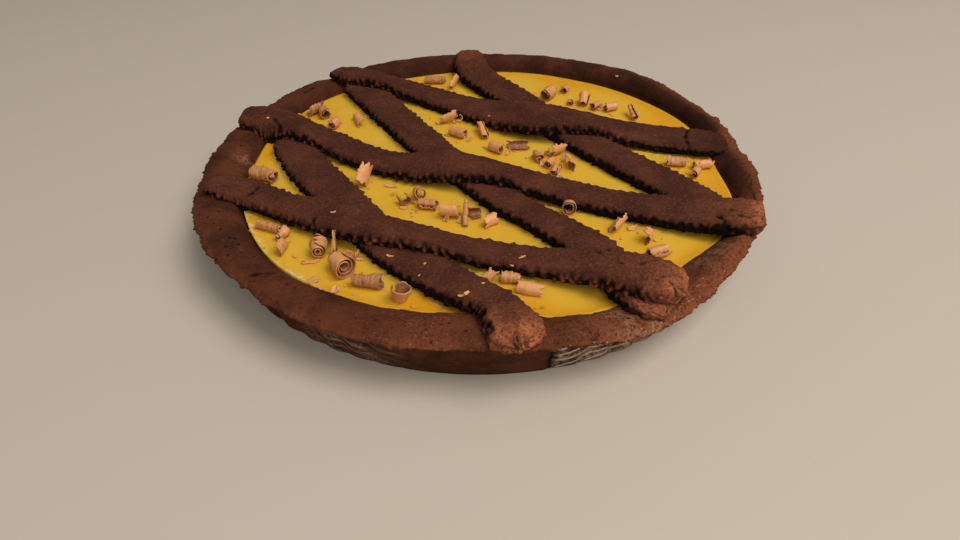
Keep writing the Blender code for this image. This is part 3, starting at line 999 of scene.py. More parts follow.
        torn = np.clip(self.over_ends(self.torn_ends, gone, 7 * MM), 0, 1)
        blush = self.over_ends(self.torn_ends, gone, 26 * MM)
        close = self.over_ends(self.torn_ends, gone, 3 * MM)
        bare = np.clip(self.over_ends(self.torn_ends, gone, 12 * MM), 0, 1)
        across = rail * self.at(self.line[:, 2], gone) / 2
        wander = 0.8 * MM * fractal(points, 6 * MM)
        lobes = np.abs(np.cos(math.pi * (across + wander) / self.lobe)) ** 0.5
        relief = 0.26 * MM * fractal(points, 11 * MM, 2, 7.0)
        relief += 0.10 * MM * fractal(points, 1.8 * MM, 3, 2.0)
        relief += brink * 0.30 * MM * fractal(points, 1.9 * MM, 2, 4.0)
        relief += flank * 0.60 * MM * fractal(points, 1.6 * MM, 3, 6.0)
        relief += torn * 0.9 * MM * fractal(points, 2.6 * MM, 4, 1.0)
        relief += close * 1.3 * MM * (lobes - 0.6)
        cut = groove(points, self.cracks) * ramp(half_round, 0.14, 0.1)
        push_out(bm, relief - cut)

        # Painted shade on the sides: black in the gaps between ridges, along the near side and under a
        # hanging side, in the cracks and between the lobes at the ends, fading where an end is torn bare.
        standing = self.ridges(gone, side, level)
        gap = np.clip(0.10 - standing * 1.7, 0, 0.8)
        lifted = self.lifted(gone)
        deep = (side < 0) * np.interp(gone, (0, self.length), self.near_side_shade)
        lit = lifted * (1 - deep)
        hung = self.hang / (6 * MM) * self.hanging(gone)
        limit = 0.62 + 0.36 * np.maximum(lifted, 0.9 * deep) + 0.2 * fractal(points, 3 * MM, 2, 11.0)
        flank = np.clip(flank + 0.8 * brink * gap, 0, 1) * ramp(limit, level, 0.16)
        flank_shade = 0.42 - 0.42 * lit + 0.45 * (1 - level) * (1 - 0.9 * lit) + gap * (1 + 0.6 * lit)
        flank_shade += 0.4 * deep + (side < 0) * hung
        shade = np.clip(cut / MM * 0.9, 0, 1) + flank * flank_shade * (1 - 0.85 * bare)
        shade = np.clip(shade, 0, 1) + 1.4 * close * np.clip(0.62 - lobes, 0, 1)
        # Painted shade over the ends
        shade += self.over_ends(self.end_shade, gone, 14 * MM, 18 * MM)
        # Painted light: the standing ridge lumps on lifted sides are lightened through the torn layer.
        lit_lumps = 0.55 * flank * lit * np.clip(standing * 2.5, 0, 1) * (1 - 0.6 * hung)
        patchy = np.clip(0.75 + 0.5 * fractal(points, 6 * MM, 2), 0, 1)
        keep_layer(bm, "torn", np.clip(torn + 0.3 * blush + lit_lumps, 0, 1) * patchy)
        keep_layer(bm, "flour", np.zeros(len(points)))
        keep_layer(bm, "shaded_pits", top * 0.35)
        keep_layer(bm, "shade", np.clip(shade, 0, 0.97))
        return finish_piece(f"pinked_{self.node}", bm, material, [self.node])


@dataclass
class Custard:
    """The filling: a smooth skin that climbs a little where it meets pastry."""

    rim: Rim
    level: float
    strips: Sequence[Strip]
    floor: float = 5.6 * MM
    cells: int = 290
    climb: float = 0.2 * MM
    # Where it browned in the heat, and small darker ochre spots
    warm: tuple[Spot, ...] = (
        Spot(106, -16, 16), Spot(-98, 15, 9), Spot(-100, -30, 9), Spot(20, -103, 7), Spot(106, 20, 10),
        Spot(-86, 60, 8), Spot(-94, -48, 9), Spot(50, 98, 12), Spot(-20, -101, 9), Spot(104, 46, 18),
    )
    ochre: tuple[Spot, ...] = (Spot(-38.7, -25.6, 1.6), Spot(22.5, -101.8, 0.9), Spot(-63, -87, 1.2))
    # Where the custard dried pale against the rim, and drew back from it
    dried: tuple[Arc, ...] = (Arc(-153, 12), Arc(-131, 7))
    drawn_back: float = 0.5 * MM

    def skin(self) -> bmesh.types.BMesh:
        """A fine square grid drawn into the shape of the filling's surface, with sides and a base."""
        bm = bmesh.new()
        bmesh.ops.create_grid(bm, x_segments=self.cells, y_segments=self.cells, size=1.0)
        rimmed = [edge for edge in bm.edges if edge.is_boundary]
        spread = positions(bm)
        x = spread[:, 0] * np.sqrt(1 - spread[:, 1] ** 2 / 2)
        y = spread[:, 1] * np.sqrt(1 - spread[:, 0] ** 2 / 2)
        angle = np.arctan2(y, x)
        pulled = self.drawn_back * over_arcs(np.degrees(angle), self.dried)
        reach = np.hypot(x, y) * (self.rim.inner(angle) - 0.25 * MM - pulled)
        for vertex, r, a in zip(bm.verts, reach, angle):
            vertex.co = (r * math.cos(a), r * math.sin(a), self.level)
        deepest = self.level - self.floor
        for share, depth in ((0.995, 1.5 * MM), (0.93, deepest), (0.45, deepest)):
            made = bmesh.ops.extrude_edge_only(bm, edges=rimmed)["geom"]
            for vertex in (thing for thing in made if isinstance(thing, bmesh.types.BMVert)):
                toward = np.array([math.atan2(vertex.co.y, vertex.co.x)])
                flat = vertex.co.xy.normalized() * (self.rim.inner(toward)[0] * share)
                vertex.co = (flat.x, flat.y, self.level - depth)
            rimmed = [thing for thing in made if isinstance(thing, bmesh.types.BMEdge)]
        bmesh.ops.contextual_create(bm, geom=rimmed)
        bmesh.ops.poke(bm, faces=[face for face in bm.faces if len(face.verts) > 4])
        bmesh.ops.recalc_face_normals(bm, faces=bm.faces)
        return bm

    def near_strips(self, points: np.ndarray) -> np.ndarray:
        """The distance from each point to the side of the nearest strip that lies on the custard.

        Args:
            points: points on the custard.

        Returns:
            Metres outside the strip's side, negative under it.
        """
        nearest = np.full(len(points), 1.0)
        for strip in self.strips:
            low = np.flatnonzero(strip.under.min(axis=1) < self.level + 1.6 * MM)
            tree = KDTree(len(low))
            for index in low:
                tree.insert((*strip.line[index, :2], 0), int(index))
            tree.balance()
            found = np.array([tree.find((x, y, 0))[1] for x, y in points[:, :2]])
            offset = points[:, :2] - strip.line[found, :2]
            along = np.abs((offset * strip.ahead[found]).sum(axis=1))
            across = np.abs((offset * strip.normal[found]).sum(axis=1)) - strip.line[found, 2] / 2
            nearest = np.minimum(nearest, np.where(along < strip.step, across, 1.0))
        return nearest

    def patches(self, points: np.ndarray, spots: Sequence[Spot]) -> np.ndarray:
        """How strongly each point lies in one of the patches, from 0 to 1."""
        strength = np.zeros(len(points))
        for spot in spots:
            strength = np.maximum(strength, over_spot(points, spot))
        return strength

    def build(self, finish: CustardFinish, shadows: Sequence[Spot]) -> bpy.types.Object:
        """Builds the filling and dresses it.

        Args:
            finish: its material.
            shadows: where the shavings' shadows are painted on the surface.

        Returns:
            The piece.
        """
        bm = self.skin()
        points = positions(bm)
        angle = np.arctan2(points[:, 1], points[:, 0])
        reach = np.hypot(points[:, 0], points[:, 1])
        top = (points[:, 2] > self.level - 0.01 * MM).astype(float)
        away = self.near_strips(points)
        to_rim = self.rim.inner(angle) - reach
        dried = over_arcs(np.degrees(angle), self.dried)
        rise = self.climb * bell(np.maximum(away, 0), 0, 0.8 * MM) * (away > -1.2 * MM)
        rise += (0.5 + 0.6 * dried) * MM * bell(to_rim, 0, 2.2 * MM)
        rise += 0.15 * MM * fractal(points, 26 * MM, 2) + 0.04 * MM * fractal(points, 6 * MM, 2)
        rise -= 0.8 * MM * self.patches(points, self.ochre[1:2])
        for vertex, lift in zip(bm.verts, rise * top):
            vertex.co.z += lift
        browned_and_shadowed = 0.8 * bell(to_rim, 0, 6 * MM) * (1 - dried) + 0.95 * self.patches(points, self.warm)
        # Painted shadow: the shavings' shadows tint the custard toward orange.
        browned_and_shadowed = np.maximum(browned_and_shadowed, 0.55 * self.patches(points, shadows))
        ragged = np.clip(0.6 + 1.5 * fractal(points, 3 * MM, 2, 14.0), 0, 1)
        crusted = dried * ragged**2 * bell(to_rim, 1.3 * MM, 1.5 * MM)
        keep_layer(bm, "browned_and_shadowed", np.clip(browned_and_shadowed * top, 0, 1))
        keep_layer(bm, "ochre", 0.85 * self.patches(points, self.ochre))
        thin = 0.55 * bell(away, 0.1 * MM, 0.5 * MM) * ragged
        keep_layer(bm, "pale", np.clip(thin + crusted, 0, 1))
        return finish_piece("custard_filling", bm, finish.make(), ["custard"])


class Curl(NamedTuple):
    """A chocolate shaving; under 0.8 of a turn it is an open flake."""

    x: float
    y: float
    radius: float
    length: float
    turns: float
    heading: float
    tilt: float
    spin: float


CURLS_MM = (
    Curl(39, 76, 4.0, 8, 1.6, 55, 0, 40),
    Curl(49.5, 84.5, 2.6, 5, 1.4, 60, 0, 10),
    Curl(50.5, 68.5, 2.2, 4, 1.5, 85, 0, 90),
    Curl(58, 67.5, 3.2, 7, 1.2, 80, 25, 150),
    Curl(64.5, 62.5, 2.6, 6, 1.3, 40, 0, 200),
    Curl(72, 60.5, 2.8, 7, 1.5, 20, 0, 30),
    Curl(82, 52, 2.2, 9, 1.3, 100, 20, 80),
    Curl(-25.5, 97, 2.8, 11, 1.4, 0, 0, 120),
    Curl(-16, 91.5, 3.4, 7, 0.55, 60, 35, 100),
    Curl(-89.2, 57, 4.0, 8, 0.6, 40, 0, 110),
    Curl(-83, 53, 3.2, 6, 1.6, -60, 0, 20),
    Curl(-76, 40, 3.1, 5, 1.8, 75, 0, 60),
    Curl(-63, 46, 3.0, 10, 0.5, -65, 0, 40),
    Curl(-99, -12.5, 3.8, 11, 1.5, -20, 0, 40),
    Curl(-16, 46.5, 3.0, 8, 0.6, 15, 25, 100),
    Curl(-10.5, 30.5, 3.2, 8, 1.5, -30, 0, 70),
    Curl(2, 31.5, 2.4, 11, 1.4, 106, 15, 140),
    Curl(8.5, 14.5, 3.0, 7, 1.4, -40, 0, 20),
    Curl(19.5, 17.5, 2.8, 10, 0.75, 2, 0, 160),
    Curl(37.5, 12, 3.8, 8, 0.55, 30, 0, 110),
    Curl(28.5, 6, 2.6, 6, 1.4, 110, 0, 0),
    Curl(33.5, 0, 2.6, 5, 1.5, 60, 0, 50),
    Curl(35.5, -7, 2.7, 5, 1.6, 70, 0, 100),
    Curl(42.5, -1.5, 3.0, 8, 0.6, 100, 0, 60),
    Curl(94.5, 0.5, 2.8, 9, 1.4, -8, 0, 45),
    Curl(106, -2, 2.8, 8, 1.4, 10, 0, 90),
    Curl(101, -9.5, 2.6, 5, 1.5, 60, 0, 10),
    Curl(-53.5, -15, 4.2, 9, 0.45, 55, 45, 80),
    Curl(-32.5, -32.5, 3.0, 4, 0.9, -60, 0, 130),
    Curl(-26, -29, 3.4, 4, 1.7, -75, 25, 60),
    Curl(-22.5, -36.5, 2.8, 8, 1.3, -10, 0, 150),
    Curl(-12, -42.5, 3.7, 8, 0.6, -15, 0, 100),
    Curl(-5.5, -45.5, 1.5, 12, 1.1, 89, 28, 0),
    Curl(-1.5, -43.5, 2.8, 5, 0.75, 15, 0, 185),
    Curl(4, -49, 3.0, 6, 0.5, 40, 0, 60),
    Curl(38.5, -41.0, 3.7, 2.2, 2.0, 85, 0, 0),
    Curl(57, -52, 3.2, 8, 0.6, 50, 15, 110),
    Curl(68, -60.5, 3.2, 6, 0.6, 60, 0, 60),
    Curl(71, -71.5, 3.0, 8, 1.4, 25, 0, 130),
    Curl(-87.5, -53, 2.5, 10, 1.5, -25, 0, 60),
    Curl(-81, -59, 2.6, 5, 1.6, 60, 0, 30),
    Curl(-80, -68.5, 3.0, 6, 0.55, 80, 0, 60),
    Curl(-63.8, -70.5, 4.2, 5.5, 2.0, 102, 0, 0),
    Curl(-53.5, -81.0, 4.6, 8, 2.0, 128, 0, 70),
    Curl(-42, -90, 3.1, 11, 1.7, -7, 0, 20),
    Curl(-28.5, -97.5, 3.7, 5.5, 1.2, 0, 82, 40),
    Curl(-57.5, -69, 1.6, 9, 0.5, 30, 80, 90),
    Curl(4, -86.5, 3.0, 5, 0.5, 20, 45, 90),
    Curl(12, -87.3, 2.6, 7, 1.4, -10, 0, 30),
    Curl(19, -93, 3.2, 9, 0.42, -15, 0, 70),
)


class Flake(NamedTuple):
    """A small thin shaving lying at (x, y), in millimetres; its heading and tilt in degrees."""

    x: float
    y: float
    length: float
    width: float
    heading: float
    tilt: float = 0.0


FLAKES_MM = (
    Flake(-51.3, -71.9, 3.6, 3.0, 70, 65),
    Flake(-48.0, -73.4, 4.2, 3.2, -20, 60),
    Flake(-66.5, -75.2, 6.4, 1.9, 12),
    Flake(-52.5, -71.5, 3.0, 2.0, 20),
    Flake(-47.5, -73.5, 3.6, 1.4, -15),
    Flake(-62.8, -87.3, 4.6, 2.6, 20, 15),
    Flake(-53.8, -93.5, 4.4, 3.0, 75),
    Flake(-40.5, -18.6, 5.5, 1.8, -12),
    Flake(66.8, 61.2, 3.6, 1.8, -20),
    Flake(-59.1, -56.7, 2.4, 1.1, 25),
    Flake(-34.2, -79.6, 3.0, 1.0, -20),
    Flake(-20.4, -84.9, 1.4, 0.9, 60),
    Flake(1.4, -99.1, 1.3, 0.7, 10),
    Flake(16.3, -81.7, 3.0, 0.9, 30),
    Flake(-6.4, -105.4, 2.3, 1.2, -10, 8),
    Flake(-4.4, -105.0, 2.1, 1.1, 35, 8),
    Flake(79.1, 89.4, 1.6, 1.2, 0),
    Flake(-105.6, 28.1, 1.5, 1.1, 40),
    Flake(64.5, -52.4, 4.6, 2.4, 10, 10),
    Flake(72.0, -77.0, 7.0, 2.6, -12),
    Flake(-73.5, -71.5, 2.6, 1.4, -50),
    Flake(-33.0, -36.5, 3.2, 1.8, 10),
    Flake(-28.5, -33.0, 3.0, 1.6, -40, 30),
    Flake(-8.0, -46.5, 3.2, 2.4, 60, 20),
    Flake(28.0, 11.0, 4.2, 1.8, 20, 15),
    Flake(36.5, 4.0, 3.6, 2.2, -35, 35),
    Flake(41.5, 6.0, 4.0, 2.6, 70, 30),
    Flake(-20.5, 45.5, 4.2, 3.0, 30, 20),
    Flake(-12.5, 45.5, 3.6, 2.4, -30, 25),
    Flake(-78.5, 48.0, 3.2, 1.6, 40),
    Flake(-96.5, 54.5, 3.0, 1.2, -20),
    Flake(-9.5, 47.0, 3.4, 2.2, 40, 70),
    Flake(-19.5, 44.0, 3.8, 2.4, -60, 40),
    Flake(-8.0, 27.5, 4.0, 2.6, -40, 45),
    Flake(-4.5, 25.5, 3.4, 1.8, 20, 35),
    Flake(33.0, 10.0, 4.4, 2.6, -60, 55),
    Flake(30.5, 1.5, 3.4, 2.2, 60, 50),
    Flake(38.5, -3.5, 4.2, 2.6, 15, 45),
    Flake(40.5, 2.0, 3.8, 2.4, -20, 60),
    Flake(37.5, -9.5, 3.0, 1.8, 30, 20),
    Flake(-13.5, -45.5, 4.4, 2.6, 50, 55),
    Flake(-9.5, -41.0, 4.2, 2.4, -30, 60),
    Flake(-15.5, -40.5, 3.2, 1.6, 15, 20),
    Flake(14.5, 12.0, 3.6, 2.2, 40, 40),
)


@dataclass
class Shavings:
    """The rolled shavings and the flakes that broke off them, joined into one piece."""

    # The custard's level, and the pieces that a flake can lie on
    level: float
    carriers: Sequence[bpy.types.Object]
    sheet: float = 0.42 * MM
    flake_sheet: float = 0.32 * MM
    pitch: float = 1.2 * MM
    core: float = 0.9 * MM
    ridge: float = 0.10 * MM
    ridge_pitch: float = 0.9 * MM
    wobble: float = 0.34 * MM
    wobble_size: float = 4.0 * MM
    # Under this many turns a shaving is an open flake; under this many millimetres a flake is a crumb
    rolled_turns: float = 0.8
    crumb_length: float = 2.0
    # The numbers of the shavings that are unlike the rest
    thin_rings: tuple[int, ...] = (36,)
    tight: tuple[int, ...] = (43, 44)
    flared: tuple[int, ...] = (46,)
    spikes: tuple[int, ...] = (47,)
    pale: tuple[int, ...] = (4, 9, 13, 15, 17, 20, 24, 26, 28, 30, 32, 35, 37, 38, 44, 46, 47, 50)
    brown: tuple[int, ...] = (8, 10, 14, 25, 33, 34, 45)
    crumbs: int = 120

    def roll(self, curl: Curl, number: int) -> bmesh.types.BMesh:
        """One shaving, rolled about its own axis and turned as it lies.

        Args:
            curl: its sizes and place.
            number: its place in the list, which seeds its unevenness.

        Returns:
            The closed mesh of the thin sheet.
        """
        dice = random.Random(SEED + number)
        turns = curl.turns * (1.5 if number in self.tight else 1.0)
        sweep = turns * math.tau
        taper = dice.uniform(-0.16, 0.16)
        taper = 0.2 if number in self.flared else taper
        slide = dice.uniform(-0.12, 0.12) * curl.length * MM * min(curl.turns, 1.5)
        shift = 10.0 * number
        length = curl.length * MM
        ragged = 0.16 if curl.turns > self.rolled_turns else 0.24
        thin = number in self.thin_rings
        pitch = self.pitch * (0.75 if thin else 1.0)
        narrowing = 0.85 if number in self.spikes else 0.0
        columns = max(14, round(22 * turns + 8))
        rows = max(10, round(curl.length * 2.2))

        def wave(spot: np.ndarray, which: float) -> np.ndarray:
            """One of this shaving's own uneven lines."""
            line = np.stack((spot, spot * 0 + which, spot * 0 + shift), axis=1)
            return np.clip([noise.fractal(point, 0.9, 2.2, 3) for point in line], -0.6, 0.6)

        def place(u: np.ndarray, v: np.ndarray) -> np.ndarray:
            """The sheet, rolled up about the X axis, with ragged ends and sides."""
            start = ragged * 0.5 * (1 + wave(v * 5, 1.0))
            finish = 1 - ragged * 0.5 * (1 + wave(v * 5, 2.0))
            turn = start + u * (finish - start)
            angle = sweep * turn + math.radians(curl.spin)
            reach = np.maximum(curl.radius * MM - pitch * turns * turn, self.core)
            reach = reach * (1 + taper * (2 * v - 1)) * (1 - narrowing * v)
            ends = np.where(v < 0.5, wave(turn * 6, 3.0), wave(turn * 6, 4.0))
            x = (v - 0.5 + ragged * 0.9 * ends * (2 * v - 1)) * length + slide * (turn - 0.5)
            reach = reach + self.ridge * np.sin(x / self.ridge_pitch * math.tau + 3 * wave(v * 4, 5.0))
            flat = np.stack((x, reach * np.cos(angle), reach * np.sin(angle)), axis=1)
            wobble = np.array([noise.noise_vector(spot + shift) for spot in flat / self.wobble_size])
            return flat + self.wobble * wobble

        bm = laid_grid(columns, rows, place)
        bm.faces.ensure_lookup_table()
        middle = bm.faces[len(bm.faces) // 2]
        outward = middle.calc_center_median() * Vector((0, 1, 1))
        if middle.normal.dot(outward) < 0:
            bmesh.ops.reverse_faces(bm, faces=bm.faces)
        inside_shade = bm.verts.layers.float.new("inside_shade")
        thicken(bm, self.flake_sheet if thin else self.sheet)
        bm.normal_update()
        for vertex in bm.verts:
            vertex[inside_shade] = 0.0 if vertex.normal.dot(vertex.co * Vector((0, 1, 1))) > 0 else 1.0
        bands = wave(positions(bm)[:, 0] / (0.8 * MM), 6.0)
        turn = Euler((0, -math.radians(curl.tilt), math.radians(curl.heading)))
        bmesh.ops.rotate(bm, verts=bm.verts, matrix=turn.to_matrix())
        lowest = min(vertex.co.z for vertex in bm.verts)
        bmesh.ops.translate(bm, verts=bm.verts, vec=(curl.x * MM, curl.y * MM, self.level - lowest))
        tone = 0.80 if number in self.pale else 0.25 if number in self.brown else 0.45
        keep_layer(bm, "tone", tone + dice.uniform(-0.12, 0.12) + 0.35 * bands)
        return bm

    def flake(self, flake: Flake, number: int, tree: BVHTree) -> bmesh.types.BMesh:
        """One thin, cupped, ragged flake, laid on whatever is under it.

        Args:
            flake: its size and place.
            number: seeds its unevenness.
            tree: what it can rest on.

        Returns:
            Its closed mesh.
        """
        dice = random.Random(FLAKE_SEED + number)
        shift = 7.0 * number + 300
        bend = dice.uniform(0.08, 0.3) * flake.width * MM
        columns, rows = (4, 3) if flake.length < self.crumb_length else (10, 6)

        def place(u: np.ndarray, v: np.ndarray) -> np.ndarray:
            """The flake, cupped a little, its outline ragged."""
            x, y = 2 * u - 1, 2 * v - 1
            swell = 1 - 0.35 * np.abs(x) ** 2.5
            spots = np.stack((x * 1.6 + shift, y * 1.6, x * 0), axis=1)
            ragged = np.array([noise.noise_vector(spot) for spot in spots])
            length = flake.length * MM * (0.5 * x + 0.16 * ragged[:, 0])
            width = flake.width * MM * (0.5 * y * swell + 0.22 * ragged[:, 1])
            height = bend * (x**2 + 0.6 * y**2) + 0.25 * MM * ragged[:, 2]
            return np.stack((length, width, height), axis=1)

        bm = laid_grid(columns, rows, place)
        bm.verts.layers.float.new("inside_shade")
        thicken(bm, self.flake_sheet)
        roll = math.radians(dice.uniform(-12, 12))
        turn = Euler((roll, -math.radians(flake.tilt), math.radians(flake.heading)))
        bmesh.ops.rotate(bm, verts=bm.verts, matrix=turn.to_matrix())
        ground = tree.ray_cast(Vector((flake.x * MM, flake.y * MM, 0.1)), Vector((0, 0, -1)))[0]
        lowest = min(vertex.co.z for vertex in bm.verts)
        level = ground.z if ground is not None else self.level
        bmesh.ops.translate(bm, verts=bm.verts, vec=(flake.x * MM, flake.y * MM, level - lowest))
        keep_layer(bm, "tone", np.full(len(bm.verts), dice.uniform(0.35, 1.0)))
        return bm

    def scattered(self) -> list[Flake]:
        """The crumbs that fell round the shavings, each close to one of them."""
        dice = random.Random(SEED)
        made = []
        for _ in range(self.crumbs):
            near = dice.choice(CURLS_MM)
            angle, away = dice.uniform(0, math.tau), near.radius + abs(dice.gauss(0, 4.5))
            size = dice.uniform(0.5, 1.7)
            spot = (near.x + away * math.cos(angle), near.y + away * math.sin(angle))
            width = size * dice.uniform(0.4, 0.8)
            made.append(Flake(*spot, size, width, dice.uniform(0, 180), dice.uniform(0, 25)))
        return made

    def build(self, finish: ChocolateFinish) -> bpy.types.Object:
        """Rolls every shaving, breaks off the flakes and joins them all."""
        ground = bmesh.new()
        for carrier in self.carriers:
            ground.from_mesh(carrier.data)
        tree = BVHTree.FromBMesh(ground)
        ground.free()
        whole = bmesh.new()
        for name in ("along", "round", "inside_shade", "tone"):
            whole.verts.layers.float.new(name)
        parts = [self.roll(curl, number) for number, curl in enumerate(CURLS_MM, 1)]
        parts += [self.flake(flake, i, tree) for i, flake in enumerate((*FLAKES_MM, *self.scattered()))]
        for bm in parts:
            bmesh.ops.recalc_face_normals(bm, faces=bm.faces)
            part = bpy.data.meshes.new("shaving")
            bm.to_mesh(part)
            bm.free()
            whole.from_mesh(part)
            bpy.data.meshes.remove(part)
        nodes = [f"curl_{number:02d}" for number in range(1, len(CURLS_MM) + 1)]
        return finish_piece("chocolate_shavings", whole, finish.make(), nodes)


class Lamp(NamedTuple):
    """A square soft light: its place and size in metres, and its power in watts."""

    name: str
    place: tuple[float, float, float]
    size: float
    power: float
    colour: Colour


@dataclass
class Studio:
    """A pale floor, soft lights and the camera at the photo's angle."""

    # The camera: millimetres, metres and degrees
    lens: float = 26.0
    sensor: float = 36.0
    camera_place: tuple[float, float, float] = (0.0, -0.29136, 0.18617)
    camera_down: float = 38.35
    camera_turn: float = -0.10
    floor_half: float = 3.0
    floor_colour: Colour = (0.50, 0.455, 0.40)
    air_colour: Colour = (0.80, 0.74, 0.66)
    air_strength: float = 0.24
    lamps: tuple[Lamp, ...] = (
        Lamp("key", (0.80, -0.45, 1.60), 1.1, 27.0, (1.0, 0.92, 0.81)),
        Lamp("front", (0.20, -1.60, 1.25), 1.4, 16.0, (1.0, 0.94, 0.86)),
    )

    def build(self) -> None:
        """Sets up everything that isn't the tart."""
        self.add_floor()
        for lamp in self.lamps:
            self.add_light(lamp)
        self.add_world()
        self.add_camera()

    def add_floor(self) -> None:
        """A plain pale floor."""
        bm = bmesh.new()
        bmesh.ops.create_grid(bm, x_segments=1, y_segments=1, size=self.floor_half)
        mesh = bpy.data.meshes.new("floor")
        bm.to_mesh(mesh)
        bm.free()
        bench = Bench("pale_floor")
        bench.set(Base_Color=self.floor_colour, Roughness=0.6)
        mesh.materials.append(bench.material)
        floor = bpy.data.objects.new("floor", mesh)
        bpy.context.collection.objects.link(floor)

    def add_light(self, lamp: Lamp) -> None:
        """Puts up a light, aimed at the tart."""
        light = bpy.data.lights.new(lamp.name, "AREA")
        light.size = lamp.size
        light.energy = lamp.power
        light.color = lamp.colour
        stand = bpy.data.objects.new(lamp.name, light)
        stand.location = lamp.place
        stand.rotation_euler = (-Vector(lamp.place)).to_track_quat("-Z", "Y").to_euler()
        bpy.context.collection.objects.link(stand)

    def add_world(self) -> None:
        """An even pale surround."""
        world = bpy.data.worlds.new("surround")
        world.use_nodes = True
        back = world.node_tree.nodes["Background"]
        back.inputs["Color"].default_value = (*self.air_colour, 1)
        back.inputs["Strength"].default_value = self.air_strength
        bpy.context.scene.world = world

    def add_camera(self) -> None:
        """The camera, at the photo's place and angle."""
        lens = bpy.data.cameras.new("camera")
        lens.lens = self.lens
        lens.sensor_width = self.sensor
        lens.clip_start = 0.01
        camera = bpy.data.objects.new("camera", lens)
        camera.location = self.camera_place
        camera.rotation_euler = (math.radians(90 - self.camera_down), 0, math.radians(self.camera_turn))
        bpy.context.collection.objects.link(camera)
        bpy.context.scene.camera = camera
        bpy.context.scene.view_settings.view_transform = "Standard"


CRUST_FINISH = PastryFinish(
    name="cocoa_crust",
    brown=(0.096, 0.0295, 0.0150),
    deep=(0.046, 0.0155, 0.0092),
    torn=(0.205, 0.064, 0.028),
)
STRIP_FINISH = PastryFinish(
    name="cocoa_strip",
    brown=(0.086, 0.0285, 0.0170),
    deep=(0.050, 0.0175, 0.0118),
    torn=(0.39, 0.123, 0.055),
)


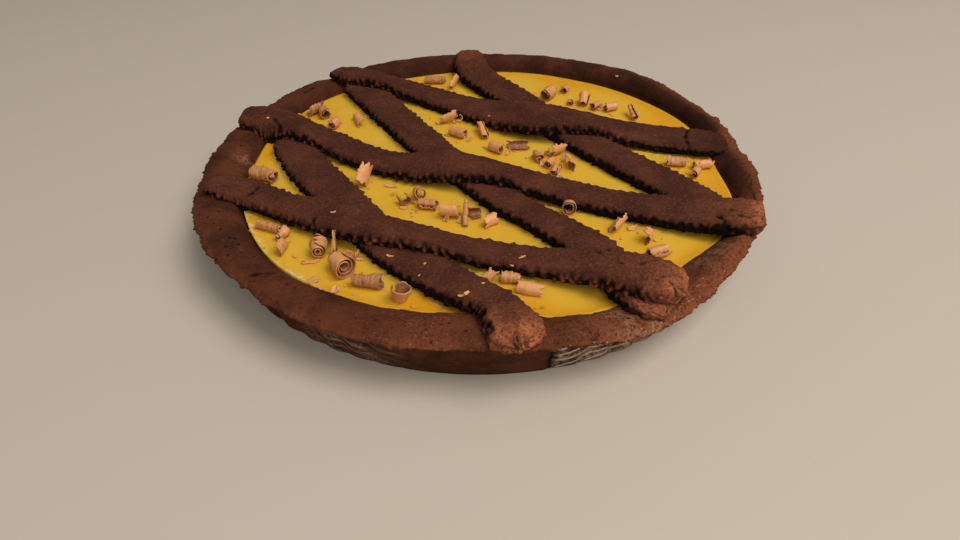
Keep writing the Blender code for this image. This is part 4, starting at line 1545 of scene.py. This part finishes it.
def lattice() -> list[Strip]:
    """The six strips: three laid one way, then three draped over them."""
    return [
        Strip(
            "lower_strip_right",
            ((-6, 122, 19), (-2, 100, 20), (17, 72, 20), (48, 23, 18), (68, -2, 19), (103, -44, 20)),
            narrowed=(0.7, 0.7),
            torn_ends=(0.3, 0.0),
            near_side_shade=(0.8, 1.0),
        ),
        Strip(
            "lower_strip_middle",
            (
                (-72, 89, 18), (-57.6, 67.6, 19.2), (-41.4, 40.9, 19), (-19.5, 5.9, 18.5), (-3, -16.4, 17),
                (13, -38, 15.8), (26, -51, 15.5), (45, -72, 18.5), (54, -93, 18), (65, -111, 18),
            ),
            narrowed=(0.7, 0.8),
            torn_ends=(0.0, 0.8),
            near_side_shade=(0.6, 1.0),
        ),
        Strip(
            "lower_strip_left",
            (
                (-97, 23.8, 18), (-78.7, -8.2, 20), (-61.8, -33, 20), (-36.8, -67.6, 19), (-14, -90, 18),
                (3.5, -105.5, 16), (10, -118.5, 18.5), (14, -130, 23),
            ),
            narrowed=(0.6, 0.85),
            torn_ends=(0.0, 1.0),
            near_side_shade=(0.7, 0.5),
            cracks=(
                Crack(12.2, -134, 12.4, -128.5, 0.45, 0.9),
                Crack(15.4, -134, 15.2, -129.0, 0.45, 0.9),
                Crack(18.6, -133, 18.2, -128.0, 0.5, 1.0),
                Crack(21.8, -131, 20.6, -127.0, 0.4, 0.8),
                Crack(2.0, -122, 4.0, -127.0, 0.9, 1.2),
                Crack(0.8, -116, 1.6, -119.0, 1.0, 1.2),
            ),
        ),
        Strip(
            "upper_strip_back",
            (
                (-85.5, 93, 17), (-69, 88.8, 17), (-32.6, 73.3, 17), (0.7, 52, 20), (29.6, 34.4, 22.5),
                (69.3, 26.6, 20), (100, 18, 20), (121, 12, 18),
            ),
            narrowed=(0.5, 0.8),
            sunk_ends=(1.15, 0.35),
            end_shade=(0.0, 0.5),
            near_side_shade=(0.2, 0.2),
            cracks=(
                Crack(104.5, 24.6, 101.0, 15.0, 0.7, 1.2),
                Crack(101.0, 15.0, 101.5, 7.5, 0.6, 1.0),
            ),
        ),
        Strip(
            "upper_strip_middle",
            (
                (-121, 32, 23), (-102, 32, 21), (-73.5, 14.9, 17.5), (-39, -6, 16.3), (-4.3, -16.8, 17.6),
                (31, -27, 17), (73, -44, 17), (115, -59.5, 23),
            ),
            narrowed=(0.6, 0.75),
            torn_ends=(0.15, 0.8),
            end_shade=(0.3, 0.0),
            near_side_shade=(-0.4, 1.0),
            hang=4.5 * MM,
            cracks=(
                Crack(-103, 30, -97.5, 18.5, 0.7, 1.3),
                Crack(96.0, -57.0, 98.0, -64.0, 0.7, 1.3),
                Crack(103.0, -60.5, 107.0, -64.0, 0.6, 1.0),
                Crack(100.0, -55.0, 103.0, -56.5, 0.5, 0.9),
            ),
        ),
        Strip(
            "upper_strip_front",
            (
                (-121, -27, 19), (-102, -31, 17), (-79.8, -43.6, 15), (-47.3, -62.4, 15), (-17.2, -71.2, 15),
                (10, -77, 14), (26, -82, 13.5), (40, -87.5, 14.5), (52, -92.5, 19.5), (62, -97, 24),
                (73, -103.5, 25),
            ),
            narrowed=(0.5, 0.65),
            torn_ends=(0.1, 0.9),
            hang=2.5 * MM,
            cracks=(
                Crack(-67.5, -56.0, -67.0, -61.5, 0.6, 1.2),
                Crack(-96.5, -30.5, -99.0, -38.0, 0.7, 1.3),
                Crack(43.0, -84.0, 44.8, -87.2, 0.5, 0.9),
                Crack(47.5, -84.0, 48.2, -86.0, 0.5, 0.8),
                Crack(50.5, -92.5, 52.0, -94.0, 0.6, 0.9),
                Crack(57.5, -95.5, 60.5, -92.5, 0.6, 0.9),
                Crack(66.5, -105.0, 68.5, -109.0, 0.6, 1.2),
                Crack(70.5, -106.5, 73.5, -110.0, 0.6, 1.2),
            ),
        ),
    ]


# A shaving's painted shadow on the custard: its shift from the shaving, and how far it reaches past it
CURL_SHADOW_SHIFT_MM = (-1.5, -2.0)
CURL_SHADOW_REACH_MM = 1.2


def main() -> None:
    """Builds the tart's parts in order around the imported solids."""
    logging.basicConfig(level=logging.INFO, format="%(message)s")
    noise.seed_set(SEED)
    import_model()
    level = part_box("custard")[1].z
    rim = Rim()
    shell = Crust(rim, level).build(CRUST_FINISH)
    strips = lattice()
    pastry = STRIP_FINISH.make()
    carriers = [strip.build(pastry) for strip in strips]
    dx, dy = CURL_SHADOW_SHIFT_MM
    curl_shadows = [Spot(curl.x + dx, curl.y + dy, curl.radius + CURL_SHADOW_REACH_MM) for curl in CURLS_MM]
    carriers.append(Custard(rim, level, strips).build(CustardFinish(), curl_shadows))
    carriers.append(shell)
    Shavings(level, carriers).build(ChocolateFinish())
    Studio().build()


if __name__ == "__main__":
    main()
